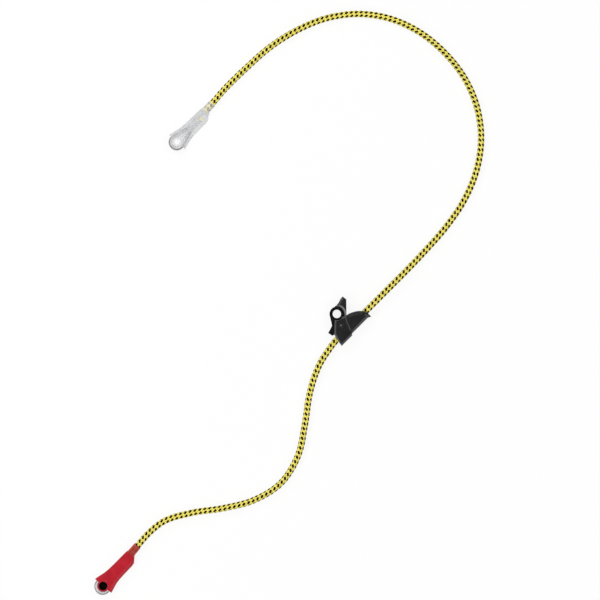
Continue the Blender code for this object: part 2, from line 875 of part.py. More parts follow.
def build_shell():
    back_inner = -ROPE_RADIUS - BACK_ROOM
    back_outer = back_inner - CHEEK_WALL
    thin_half = CHANNEL_HALF + CHEEK_WALL
    reach = SHELL_LENGTH
    dome = flat_curve(CHEEK_DOME_SHARES, 4)
    outline = scaled(CHEEK_ENTRY_SHARES, SHELL_LENGTH, CHEEK_RISE)[:-1] + dome
    outline += scaled(CHEEK_END_SHARES, SHELL_LENGTH, CHEEK_RISE)
    block = prism("block", outline, BOSS_HALF, (RIM_BEVEL_WIDTH, RIM_BEVEL_DEPTH))

    boss_edge = flat_curve(BOSS_EDGE_SHARES, 3)
    boss_outline = boss_edge + scaled(BOSS_FAR_SHARES, SHELL_LENGTH, CHEEK_RISE)
    boss = prism("boss", boss_outline, BOSS_HALF, (BOSS_SLOPE, BOSS_RAISE))
    boss = keep_inside(boss, channel_bar("bar", BOSS_HALF + FIT_GAP, back_outer - BACK_RIB, -reach, reach))
    thin = channel_bar("bar", thin_half, back_outer, -reach, reach)
    body = keep_inside(join(thin, boss), block)

    inner_bar = channel_bar("channel", CHANNEL_HALF, back_inner, -reach, reach)
    lip_centre = back_inner + CHANNEL_HALF
    tip = SHELL_TIP_SHARE * SHELL_LENGTH
    lip = bell_mouth(tip, lip_centre)
    body = cut(join(body, lip), inner_bar)
    for end, sign in ((tip, 1), (SHELL_ENTRY_SHARE * SHELL_LENGTH, -1)):
        body = cut(body, funnel(end, sign, lip_centre))
    notch = cylinder(
        "notch",
        EYE_NOTCH_RADIUS,
        -BOSS_HALF - CUT_OVERRUN,
        BOSS_HALF + CUT_OVERRUN,
        (EYE_OFFSET_ALONG, PIVOT_ACROSS + EYE_OFFSET_ACROSS),
        40,
    )
    bore = cylinder("bore", PIVOT_DIAMETER / 2 + FIT_GAP, -2 * BOSS_HALF, 2 * BOSS_HALF, (0, PIVOT_ACROSS), 24)
    head = PIVOT_HEAD_DIAMETER / 2 + FIT_GAP
    shank = PIVOT_DIAMETER / 2 + FIT_GAP
    run = head - shank
    sinks = []
    for sign in (1, -1):
        inner_z = sign * (BOSS_HALF - PIVOT_HEAD_DEPTH)
        outer_z = sign * (BOSS_HALF + PIVOT_HEAD_DEPTH)
        low_r, high_r = (shank, head + run) if sign > 0 else (head + run, shank)
        low_z, high_z = sorted((inner_z, outer_z))
        sinks.append(cylinder("sink", low_r, low_z, high_z, (0, PIVOT_ACROSS), 24, top_radius=high_r))
    leg = spring_top_leg()
    socket_radius = SPRING_WIRE / 2 + FIT_GAP
    socket = cylinder(
        "socket",
        socket_radius,
        CHANNEL_HALF - CUT_OVERRUN,
        CHANNEL_HALF + CHEEK_WALL / 2 + FIT_GAP,
        (leg.x, leg.y + PIVOT_ACROSS),
        12,
    )
    body = cut(body, notch, bore, *sinks, socket)
    finish(body, "adjuster_shell", BLACK_SHELL, ADJUSTER_FRAME)


def bell_mouth(tip, centre):
    """The back wall's flared end: half a turned ring round the channel's bend."""
    inner = CHANNEL_HALF
    outer = CHANNEL_HALF + CHEEK_WALL
    profile = [
        (inner, 0),
        (inner + LIP_FLARE, LIP_LENGTH),
        (inner + LIP_FLARE + LIP_WALL, LIP_LENGTH),
        (inner + LIP_FLARE + LIP_WALL, LIP_LENGTH - LIP_WALL / 2),
        (outer, -LIP_LENGTH / 2),
        (inner, -LIP_LENGTH / 2),
    ]
    ring = turned("lip", profile, 32)
    axes = Matrix(((0, 0, 1, tip - LIP_LENGTH), (1, 0, 0, centre), (0, 1, 0, 0), (0, 0, 0, 1)))
    ring.data.transform(axes)
    facing_out(ring)
    far = 2 * SHELL_LENGTH
    return keep_inside(ring, box("half", (-far, -far, -BOSS_HALF), (far, centre, BOSS_HALF)))


def funnel(end, sign, centre):
    """A cone that eases the channel's mouth, so the rope meets no sharp edge."""
    low = CHANNEL_HALF
    high = CHANNEL_HALF + 2 * FUNNEL_FLARE
    depth = 2 * FUNNEL_DEPTH
    bm = bmesh.new()
    bmesh.ops.create_cone(bm, cap_ends=True, segments=32, radius1=low, radius2=high, depth=depth)
    cone = mesh_object("funnel", bm)
    axes = Matrix(((0, 0, sign, end), (1, 0, 0, centre), (0, 1, 0, 0), (0, 0, 0, 1)))
    cone.data.transform(axes)
    facing_out(cone)
    return cone


# Pivot pieces, built round the pivot's own frame


def build_rivet():
    shank = PIVOT_DIAMETER / 2
    head = PIVOT_HEAD_DIAMETER / 2
    top = BOSS_HALF
    sunk = top - PIVOT_HEAD_DEPTH
    foot = -top + FIT_GAP
    taper = HEAD_TAPER_SHARE * PIVOT_HEAD_DEPTH
    profile = [
        (0, top + PIVOT_DOME),
        (head / 2, top + (1 - HEAD_RIM_SHARE) * PIVOT_DOME),
        (head, top),
        (head - taper, top - HEAD_RIM_SHARE * PIVOT_HEAD_DEPTH),
        (shank, sunk),
        (shank, -sunk),
        (head - taper, foot + taper),
        (head - taper, foot),
        (0, foot),
    ]
    finish(turned("rivet", profile, 24), "pivot_rivet", DARK_STEEL, PIVOT_FRAME)


def build_bush():
    inner = PIVOT_DIAMETER / 2 + FIT_GAP
    outer = inner + BUSH_WALL
    half = CAM_THICKNESS / 2
    profile = [(inner, half), (outer, half), (outer, -half), (inner, -half)]
    finish(turned("bush", profile, 24), "pivot_bush", BRONZE, CAM_FRAME)


def build_washers():
    inner = PIVOT_DIAMETER / 2 + FIT_GAP
    outer = WASHER_DIAMETER / 2
    middle = (CHANNEL_HALF + CAM_THICKNESS / 2) / 2
    for name, sign in (("upper_washer", 1), ("lower_washer", -1)):
        top = sign * middle + WASHER_THICKNESS / 2
        low = sign * middle - WASHER_THICKNESS / 2
        profile = [(inner, top), (outer, top), (outer, low), (inner, low)]
        finish(turned("washer", profile, 24), name, NYLON, PIVOT_FRAME)


def spring_top_leg():
    """Where the spring's upright leg stands, from the pivot."""
    return Vector((SPRING_MEAN_DIAMETER / 2, 0, 0))


def spring_bottom():
    return CAM_THICKNESS / 2 - SPRING_PITCH * SPRING_TURNS - SPRING_WIRE / 2


def build_spring():
    """A torsion spring round the bush: one leg lies in the cam and the other stands in the upper cheek."""
    radius = SPRING_MEAN_DIAMETER / 2
    low = spring_bottom()
    per_turn = 14
    total = SPRING_TURNS * per_turn
    sweep = 2 * math.pi * SPRING_TURNS - SPRING_LEG_ANGLE
    points = []
    for i in range(total + 1):
        turn = SPRING_LEG_ANGLE + sweep * i / total
        height = low + SPRING_PITCH * SPRING_TURNS * i / total
        points.append(Vector((radius * math.cos(turn), radius * math.sin(turn), height)))
    out = Vector((math.cos(SPRING_LEG_ANGLE), math.sin(SPRING_LEG_ANGLE), 0))
    leg = [points[0] + out * SPRING_LEG * share for share in (1, 0.5)]
    top = points[-1]
    up = CHANNEL_HALF + CHEEK_WALL / 2
    stand = [Vector((top.x, top.y, top.z + (up - top.z) * share)) for share in (0.5, 1)]
    spring = to_mesh(poly_curve("spring", leg + points + stand, SPRING_WIRE / 2, 1))
    finish(spring, "cam_spring", SPRING_STEEL, PIVOT_FRAME)


# Cam and lever, built round the pivot with the cam at rest on the rope


def cam_outline():
    lobe = arc((0, 0), LOBE_RADIUS, LOBE_START, LOBE_END, 8)
    shoe = scaled(SHOE_SHARES, LOBE_LENGTH)
    fin = scaled(FIN_SHARES, LOBE_LENGTH)
    ring = arc((EYE_OFFSET_ALONG, EYE_OFFSET_ACROSS), EYE_RING_RADIUS, RING_START, RING_END, 24)
    return lobe + shoe + fin + ring + scaled(CAM_RIGHT_SHARES, LOBE_LENGTH)


def tooth_cutters():
    """Saw teeth across the lobe's gripping face, facing the pull."""
    face = [(0, -LOBE_RADIUS)] + scaled(SHOE_SHARES, LOBE_LENGTH)
    line = evenly_spaced(smooth_through([(x, y, 0) for x, y in face], 6), TOOTH_PITCH)
    bm = bmesh.new()
    half = CAM_THICKNESS
    for first, second in list(zip(line, line[1:]))[:-1]:
        along = (second - first).normalized()
        up = Vector((-along.y, along.x, 0))
        up = up if up.y > 0 else -up
        root = second + up * TOOTH_DEPTH
        outer = [first - up * TOOTH_DEPTH / 2, second - up * TOOTH_DEPTH / 2, second, root, first + up * 0]
        low = [bm.verts.new((p.x, p.y, -half)) for p in outer]
        made = bmesh.ops.extrude_face_region(bm, geom=[bm.faces.new(low)])
        moved = [item for item in made["geom"] if isinstance(item, bmesh.types.BMVert)]
        bmesh.ops.translate(bm, verts=moved, vec=(0, 0, 2 * half))
    return mesh_object("teeth", bm)


def tang_box(name, grow):
    """A bar from the eye's ring into the lever."""
    start = EYE_RING_RADIUS - EYE_RING_WALL / 2
    low = (start, -TANG_WIDTH / 2 - grow, -TANG_THICKNESS / 2 - grow)
    end = EYE_RING_RADIUS + TANG_LENGTH_SHARE * LEVER_REACH
    high = (end + grow, TANG_WIDTH / 2 + grow, TANG_THICKNESS / 2 + grow)
    bar = box(name, low, high)
    centre = (EYE_OFFSET_ALONG, EYE_OFFSET_ACROSS, 0)
    bar.data.transform(Matrix.Translation(centre) @ Matrix.Rotation(TANG_ANGLE, 4, "Z"))
    return bar


def spring_room():
    """The ring shaped pocket for the spring and the arc that its leg sweeps as the cam is released."""
    outer = SPRING_MEAN_DIAMETER / 2 + SPRING_WIRE / 2 + FIT_GAP
    low = spring_bottom() - SPRING_WIRE / 2 - FIT_GAP
    high = CAM_THICKNESS / 2 + CUT_OVERRUN
    pocket = cylinder("pocket", outer, low, high, segments=32)
    side = math.asin((SPRING_WIRE / 2 + FIT_GAP) / outer)
    reach = SPRING_MEAN_DIAMETER / 2 + SPRING_LEG + FIT_GAP
    start = SPRING_LEG_ANGLE - side
    end = SPRING_LEG_ANGLE + RELEASE_ANGLE + side
    sector = arc((0, 0), reach, start, end, 6) + arc((0, 0), outer / 2, end, start, 6)
    slot = prism("slot", sector, (high - low) / 2)
    slot.data.transform(Matrix.Translation((0, 0, (high + low) / 2)))
    return join(pocket, slot)


def build_cam():
    half = CAM_THICKNESS / 2
    body = prism("cam", cam_outline(), half, (CAM_EDGE, CAM_EDGE))
    body = join(body, tang_box("tang", 0))
    eye = (EYE_OFFSET_ALONG, EYE_OFFSET_ACROSS)
    hole = EYE_DIAMETER / 2
    chamfers = []
    for sign in (1, -1):
        low_z, high_z = sorted((sign * (half - EYE_CHAMFER), sign * (half + EYE_CHAMFER)))
        radii = (hole, hole + 2 * EYE_CHAMFER)
        low_r, high_r = radii if sign > 0 else radii[::-1]
        chamfers.append(cylinder("chamfer", low_r, low_z, high_z, eye, 36, top_radius=high_r))
    bore = PIVOT_DIAMETER / 2 + 2 * FIT_GAP + BUSH_WALL
    body = cut(
        body,
        cylinder("eye", hole, -2 * half, 2 * half, eye, 36),
        *chamfers,
        cylinder("bore", bore, -2 * half, 2 * half, segments=24),
        spring_room(),
        tooth_cutters(),
    )
    finish(body, "cam", BLACK_CAM, CAM_FRAME)


def off_ring(places):
    """Points outside the eye's ring, each from its direction and its share of the lever's reach."""
    made = []
    for turn, share in places:
        distance = EYE_RING_RADIUS + FIT_GAP + share * LEVER_REACH
        x = EYE_OFFSET_ALONG + distance * math.cos(math.radians(turn))
        y = EYE_OFFSET_ACROSS + distance * math.sin(math.radians(turn))
        made.append((x, y))
    return made


def lever_edge():
    """The concave edge that the thumb pulls, from the tip to the eye's ring, smooth and ribbed."""
    edge = [Vector((*p, 0)) for p in off_ring(LEVER_EDGE_SHARES)]
    line = smooth_through(edge, 8)
    stops = evenly_spaced(line, line_length(line) / (2 * RIB_COUNT))
    ribbed = []
    for i, point in enumerate(stops):
        before, after = stops[max(i - 1, 0)], stops[min(i + 1, len(stops) - 1)]
        along = (after - before).normalized()
        inward = Vector((-along.y, along.x, 0))
        inward = inward if inward.y < 0 else -inward
        ribbed.append(point + inward * RIB_DEPTH * (i % 2))
    return stops, ribbed


def lever_outline():
    eye = (EYE_OFFSET_ALONG, EYE_OFFSET_ACROSS)
    inner = arc(eye, EYE_RING_RADIUS + FIT_GAP, LEVER_ARC_START, LEVER_ARC_END, 12)
    ribbed = [(p.x, p.y) for p in lever_edge()[1]]
    heel = [off_ring([(turn, reach / LEVER_REACH)])[0] for turn, reach in zip(HEEL_DIRECTIONS, HEEL_REACHES)]
    return inner + heel + off_ring(LEVER_CORNER_SHARES) + ribbed


def pad_outline():
    """A band along the ribbed edge, a little proud of it, with its back PAD_DEPTH inside it."""
    smooth, ribbed = (line[1:-2] for line in lever_edge())
    back = [(p.x + PAD_LEAN * PAD_DEPTH, p.y - PAD_DEPTH) for p in smooth]
    return [(p.x - FIT_GAP, p.y + FIT_GAP) for p in ribbed] + back[::-1]


def build_lever():
    """The moulding on the tang: a thumb pad across the ribbed edge, and a scoop beside the eye's ring."""
    half = LEVER_THICKNESS / 2
    body = prism("lever", lever_outline(), half, (LEVER_ROUND, LEVER_ROUND))
    body = join(body, prism("pad", pad_outline(), PAD_WIDTH / 2, (LEVER_ROUND, 2 * LEVER_ROUND)))
    eye = (EYE_OFFSET_ALONG, EYE_OFFSET_ACROSS)
    near = EYE_RING_RADIUS
    for sign in (1, -1):
        low_z, high_z = sorted((sign * (half - SCOOP_DEPTH), sign * (half + SCOOP_DEPTH)))
        radii = (near, near + 2 * SCOOP_REACH)
        low_r, high_r = radii if sign > 0 else radii[::-1]
        body = cut(body, cylinder("scoop", low_r, low_z, high_z, eye, 36, top_radius=high_r))
    body = cut(body, tang_box("slot", FIT_GAP))
    finish(body, "thumb_lever", BLACK_LEVER, CAM_FRAME)


clear_scene()
PARTS = new_collection("tree_climbing_lanyard")

CLEAR_FRAME = new_empty("clear_end_frame", (CLEAR_EYE_X, CLEAR_EYE_Y, END_HEIGHT), CLEAR_ANGLE)
RED_FRAME = new_empty("red_end_frame", (RED_EYE_X, RED_EYE_Y, END_HEIGHT), RED_ANGLE)
ADJUSTER_FRAME = new_empty("adjuster_frame", (ADJUSTER_X, ADJUSTER_Y, BOSS_HALF), ADJUSTER_ANGLE)
PIVOT_FRAME = new_empty("pivot_frame", (0, PIVOT_ACROSS, 0), 0, ADJUSTER_FRAME)
CAM_FRAME = new_empty("cam_frame", (0, PIVOT_ACROSS, 0), 0, ADJUSTER_FRAME)

YELLOW_ROPE = principled("yellow_rope", (0.78, 0.60, 0.06), 0.85)
STEEL_CABLE = principled("steel_cable", (0.45, 0.45, 0.46), 0.40, 0.9)
THIMBLE_STEEL = principled("thimble_steel", (0.62, 0.62, 0.63), 0.28, 1.0)
FERRULE_ALUMINIUM = principled("ferrule_aluminium", (0.70, 0.70, 0.71), 0.40, 0.9)
CLEAR_PLASTIC = principled("clear_plastic", (0.86, 0.87, 0.87), 0.15, 0.0, 0.35)
RED_PLASTIC = principled("red_plastic", (0.62, 0.02, 0.03), 0.25, 0.0, 0.85)
BLACK_RUBBER = principled("black_rubber", (0.012, 0.012, 0.013), 0.60)
CLEAR_RUBBER = principled("clear_rubber", (0.80, 0.80, 0.80), 0.35, 0.0, 0.5)
YELLOW_PLASTIC = principled("yellow_plastic", (0.80, 0.72, 0.10), 0.50)
GREY_SHRINK = principled("grey_shrink", (0.25, 0.25, 0.26), 0.60)
BLACK_SHELL = principled("black_shell", (0.022, 0.022, 0.024), 0.42, 0.2)
BLACK_CAM = principled("black_cam", (0.018, 0.018, 0.019), 0.38, 0.3)
BLACK_LEVER = principled("black_lever", (0.015, 0.015, 0.016), 0.50)
DARK_STEEL = principled("dark_steel", (0.10, 0.10, 0.10), 0.35, 0.8)
BRONZE = principled("bronze", (0.50, 0.33, 0.16), 0.40, 0.9)
NYLON = principled("nylon", (0.75, 0.74, 0.70), 0.55)
SPRING_STEEL = principled("spring_steel", (0.50, 0.50, 0.51), 0.30, 1.0)

build_rope()
for end_name, end_frame, plastic, rubber, open_eye, flange_depth in (
    ("clear", CLEAR_FRAME, CLEAR_PLASTIC, CLEAR_RUBBER, True, CLEAR_FLANGE),
    ("red", RED_FRAME, RED_PLASTIC, BLACK_RUBBER, False, RED_FLANGE),
):
    build_sleeve(end_name + "_sleeve", plastic, end_frame)
    build_thimble(end_name + "_thimble", THIMBLE_STEEL, end_frame, flange_depth)
    build_ferrule(end_name + "_ferrule", FERRULE_ALUMINIUM, end_frame)
    build_tail_cap(end_name + "_tail_cap", YELLOW_PLASTIC, end_frame)
    build_seal(end_name + "_sheath_seal", GREY_SHRINK, end_frame)
    build_insert(end_name + "_eye_insert", rubber, end_frame, open_eye)
build_shell()
build_cam()
build_lever()
build_rivet()
build_bush()
build_washers()
build_spring()
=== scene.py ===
import json
import math

import bpy
import numpy as np
from mathutils import Matrix, Vector


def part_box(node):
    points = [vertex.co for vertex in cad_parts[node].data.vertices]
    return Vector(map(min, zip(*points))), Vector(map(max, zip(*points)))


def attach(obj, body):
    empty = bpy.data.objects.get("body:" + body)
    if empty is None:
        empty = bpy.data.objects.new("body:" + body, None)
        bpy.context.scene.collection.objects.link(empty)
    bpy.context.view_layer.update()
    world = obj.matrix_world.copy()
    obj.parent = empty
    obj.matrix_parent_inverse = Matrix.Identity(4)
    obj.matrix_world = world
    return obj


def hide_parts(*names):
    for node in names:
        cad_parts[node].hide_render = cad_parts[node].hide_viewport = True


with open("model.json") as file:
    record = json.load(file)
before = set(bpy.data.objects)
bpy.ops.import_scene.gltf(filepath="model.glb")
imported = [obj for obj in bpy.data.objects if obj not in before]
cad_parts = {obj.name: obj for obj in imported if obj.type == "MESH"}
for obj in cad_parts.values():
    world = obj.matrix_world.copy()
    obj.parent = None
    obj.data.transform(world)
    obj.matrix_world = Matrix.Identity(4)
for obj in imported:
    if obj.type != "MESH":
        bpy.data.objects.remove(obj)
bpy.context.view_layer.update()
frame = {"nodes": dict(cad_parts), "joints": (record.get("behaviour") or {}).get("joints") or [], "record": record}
print("frame loaded with", len(frame["nodes"]), "CAD nodes")

joints = {joint["name"]: joint for joint in frame["joints"]}


# small tools


def selectOnly(*pieces):
    bpy.ops.object.select_all(action="DESELECT")
    for piece in pieces:
        piece.select_set(True)
    bpy.context.view_layer.objects.active = pieces[0]


def named(piece, name):
    piece.name = name
    piece.data.name = name
    return piece


def applyAll(piece):
    selectOnly(piece)
    for modifier in list(piece.modifiers):
        bpy.ops.object.modifier_apply(modifier=modifier.name)


def editAll(piece):
    selectOnly(piece)
    bpy.ops.object.mode_set(mode="EDIT")
    bpy.ops.mesh.select_all(action="SELECT")


def leaveEdit():
    bpy.ops.object.mode_set(mode="OBJECT")


def faceOutwards(piece):
    editAll(piece)
    bpy.ops.mesh.normals_make_consistent(inside=False)
    leaveEdit()


def middleOf(node):
    low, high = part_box(node)
    return (low + high) / 2


# points of a smooth curve through the given ones, paced by their spacing
def smoothThrough(points, steps):
    points = np.array(points, float)
    gaps = np.linalg.norm(np.diff(points, axis=0), axis=1)
    slopes = np.zeros_like(points)
    slopes[0] = (points[1] - points[0]) / gaps[0]
    slopes[-1] = (points[-1] - points[-2]) / gaps[-1]
    for i in range(1, len(points) - 1):
        weight = gaps[i - 1] / (gaps[i - 1] + gaps[i])
        before = (points[i] - points[i - 1]) / gaps[i - 1]
        after = (points[i + 1] - points[i]) / gaps[i]
        slopes[i] = before * (1 - weight) + after * weight
    made = []
    for i in range(len(points) - 1):
        for step in range(steps):
            t = step / steps
            near = points[i] * (2 * t**3 - 3 * t**2 + 1) + slopes[i] * gaps[i] * (t**3 - 2 * t**2 + t)
            far = points[i + 1] * (3 * t**2 - 2 * t**3) + slopes[i + 1] * gaps[i] * (t**3 - t**2)
            made.append(near + far)
    return np.array(made + [points[-1]])


def lengthsAlong(line):
    return np.concatenate([[0], np.cumsum(np.linalg.norm(np.diff(line, axis=0), axis=1))])


def pointsAt(line, at):
    along = lengthsAlong(line)
    return np.stack([np.interp(at, along, line[:, k]) for k in range(line.shape[1])], axis=1)


# the same line with equal steps, and the length along it at each of them
def evenSteps(line, step):
    whole = lengthsAlong(line)[-1]
    at = np.linspace(0, whole, max(2, round(whole / step)) + 1)
    return pointsAt(line, at), at


# where the ends and the adjuster lie, read from the frame


# axes at a place, with X turned about Z towards what lies ahead
def axesAt(place, ahead):
    return Matrix.Translation(place) @ Matrix.Rotation(math.atan2(ahead.y, ahead.x), 4, "Z")


# an end's own axes: the middle of its eye, with X towards the rope
def endAxes(end):
    eye = middleOf(end + "_eye_insert")
    return axesAt(eye, middleOf(end + "_sheath_seal") - eye)


clearEnd = endAxes("clear")
redEnd = endAxes("red")

# the adjuster's own axes: the pivot, with X along the rope
pivotAxes = axesAt(Vector(joints["cam_pivot"]["pos_m"]), Vector(joints["adjuster_slide"]["axis"]))


# studio: camera, floor and light

studio = {
    "viewCentre": (0.1279, 0.0907),
    "viewWidth": 1.14,
    "lens": 200,
    "sensor": 36,
    "clipEnd": 100,
    "floorSize": 12,
    "floorDepth": 0.0003,
    "floorColour": (0.95, 0.95, 0.95, 1),
    "floorGlow": 0.88,
    "worldLight": 0.46,
    "boxSize": 1.1,
    "boxDistance": 2.6,
    # turn and height in degrees, and watts
    "boxes": [(-60, 42, 12), (30, 42, 14), (125, 42, 22), (212, 42, 20)],
}


def makeCamera():
    distance = studio["viewWidth"] * studio["lens"] / studio["sensor"]
    bpy.ops.object.camera_add(location=(*studio["viewCentre"], distance), rotation=(0, 0, 0))
    camera = bpy.context.object
    camera.name = "camera"
    camera.data.lens = studio["lens"]
    camera.data.sensor_width = studio["sensor"]
    camera.data.clip_end = studio["clipEnd"]
    bpy.context.scene.camera = camera


# white for what looks straight at it, mirrors it or sees it through plastic
def seenRays(nodes, links):
    path = nodes.new("ShaderNodeLightPath")
    total = path.outputs["Is Camera Ray"]
    for other in ("Is Glossy Ray", "Is Transmission Ray"):
        add = nodes.new("ShaderNodeMath")
        add.operation = "MAXIMUM"
        links.new(total, add.inputs[0])
        links.new(path.outputs[other], add.inputs[1])
        total = add.outputs[0]
    return total


def makeFloor():
    bpy.ops.mesh.primitive_plane_add(size=studio["floorSize"], location=(0, 0, -studio["floorDepth"]))
    floor = named(bpy.context.object, "floor")
    material = bpy.data.materials.new("floor")
    material.use_nodes = True
    nodes, links = material.node_tree.nodes, material.node_tree.links
    nodes.clear()
    matt = nodes.new("ShaderNodeBsdfDiffuse")
    matt.inputs["Color"].default_value = studio["floorColour"]
    glow = nodes.new("ShaderNodeEmission")
    mix = nodes.new("ShaderNodeMixShader")
    share = nodes.new("ShaderNodeMath")
    share.operation = "MULTIPLY"
    share.inputs[1].default_value = studio["floorGlow"]
    out = nodes.new("ShaderNodeOutputMaterial")
    links.new(seenRays(nodes, links), share.inputs[0])
    links.new(share.outputs[0], mix.inputs["Fac"])
    links.new(matt.outputs[0], mix.inputs[1])
    links.new(glow.outputs[0], mix.inputs[2])
    links.new(mix.outputs[0], out.inputs["Surface"])
    floor.data.materials.append(material)


def makeWorld():
    world = bpy.data.worlds.new("studio")
    bpy.context.scene.world = world
    world.use_nodes = True
    nodes, links = world.node_tree.nodes, world.node_tree.links
    nodes.clear()
    light = nodes.new("ShaderNodeBackground")
    light.inputs["Strength"].default_value = studio["worldLight"]
    seen = nodes.new("ShaderNodeBackground")
    mix = nodes.new("ShaderNodeMixShader")
    out = nodes.new("ShaderNodeOutputWorld")
    links.new(seenRays(nodes, links), mix.inputs["Fac"])
    links.new(light.outputs[0], mix.inputs[1])
    links.new(seen.outputs[0], mix.inputs[2])
    links.new(mix.outputs[0], out.inputs["Surface"])


def makeLights():
    centre = Vector((*studio["viewCentre"], 0))
    for i, (turn, height, power) in enumerate(studio["boxes"]):
        turn, height = math.radians(turn), math.radians(height)
        flat = math.cos(height)
        away = Vector((math.cos(turn) * flat, math.sin(turn) * flat, math.sin(height)))
        place = centre + away * studio["boxDistance"]
        aim = (-away).to_track_quat("-Z", "Y").to_euler()
        bpy.ops.object.light_add(type="AREA", location=place, rotation=aim)
        box = bpy.context.object
        box.name = "soft_box_" + str(i + 1)
        box.data.shape = "SQUARE"
        box.data.size = studio["boxSize"]
        box.data.energy = power
        box.visible_transmission = False   # through plastic the white room is seen, not the lamp


makeCamera()
makeFloor()
makeWorld()
makeLights()
bpy.context.scene.view_settings.view_transform = "Standard"
print("studio made")


# materials

surface = {
    "change": (0.3, 0.7),        # of the broad noise, between which tone and gloss change
    "broadDetail": 3,
    "fineDetail": 2,
    "palestYarn": 0.8,           # of the filaments' wave
}
strandMap = {"name": "strand", "perMetre": 1000}   # along in mm, and around in sides


def newMaterial(name):
    material = bpy.data.materials.new(name)
    material.use_nodes = True
    tree = material.node_tree
    return material, tree.nodes, tree.links, tree.nodes["Principled BSDF"]


def addNoise(nodes, links, scale, detail):
    place = nodes.new("ShaderNodeTexCoord")
    noise = nodes.new("ShaderNodeTexNoise")
    noise.inputs["Scale"].default_value = scale
    noise.inputs["Detail"].default_value = detail
    links.new(place.outputs["Object"], noise.inputs["Vector"])
    return noise.outputs["Fac"]


# a ramp from one colour or grey to another, between two places
def addRamp(nodes, links, source, places, values):
    ramp = nodes.new("ShaderNodeValToRGB")
    for element, place, value in zip(ramp.color_ramp.elements, places, values):
        element.position = place
        element.color = (*value, 1) if isinstance(value, tuple) else (value, value, value, 1)
    links.new(source, ramp.inputs["Fac"])
    return ramp.outputs["Color"]


def addBump(nodes, links, source, shader, distance):
    bump = nodes.new("ShaderNodeBump")
    bump.inputs["Distance"].default_value = distance
    bump.inputs["Strength"].default_value = 1
    links.new(source, bump.inputs["Height"])
    links.new(bump.outputs["Normal"], shader.inputs["Normal"])


# a finish with a fine grain, a little change of tone and gloss, and constant values on the shader
def grainFinish(name, values):
    material, nodes, links, shader = newMaterial(name)
    broad = addNoise(nodes, links, values["patchScale"], surface["broadDetail"])
    tones = addRamp(nodes, links, broad, surface["change"], (values["dark"], values["light"]))
    shine = addRamp(nodes, links, broad, surface["change"], values["gloss"])
    links.new(tones, shader.inputs["Base Color"])
    links.new(shine, shader.inputs["Roughness"])
    grain = addNoise(nodes, links, values["grainScale"], surface["fineDetail"])
    addBump(nodes, links, grain, shader, values["grainDepth"])
    shader.inputs["Metallic"].default_value = values.get("metal", 0)
    shader.inputs["Specular IOR Level"].default_value = values.get("specular", 0.5)
    shader.inputs["Transmission Weight"].default_value = values.get("through", 0)
    shader.inputs["IOR"].default_value = values.get("bending", 1.5)
    return material


# braided yarn: fine filaments along each strand, read from the strand's own map
def yarnFinish(name, values):
    material, nodes, links, shader = newMaterial(name)
    place = nodes.new("ShaderNodeUVMap")
    place.uv_map = strandMap["name"]
    twist = nodes.new("ShaderNodeMapping")
    twist.inputs["Rotation"].default_value = (0, 0, values["twist"])
    links.new(place.outputs["UV"], twist.inputs["Vector"])
    yarns = nodes.new("ShaderNodeTexWave")
    yarns.bands_direction = "Y"
    yarns.inputs["Scale"].default_value = values["filaments"]
    yarns.inputs["Distortion"].default_value = values["waver"]
    yarns.inputs["Detail"].default_value = surface["fineDetail"]
    links.new(twist.outputs["Vector"], yarns.inputs["Vector"])
    wave = yarns.outputs["Fac"]
    tones = addRamp(nodes, links, wave, (0, surface["palestYarn"]), (values["dark"], values["light"]))
    links.new(tones, shader.inputs["Base Color"])
    addBump(nodes, links, wave, shader, values["depth"])
    shader.inputs["Roughness"].default_value = values["roughness"]
    shader.inputs["Specular IOR Level"].default_value = values["specular"]
    shader.inputs["Sheen Weight"].default_value = values["sheen"]
    return material


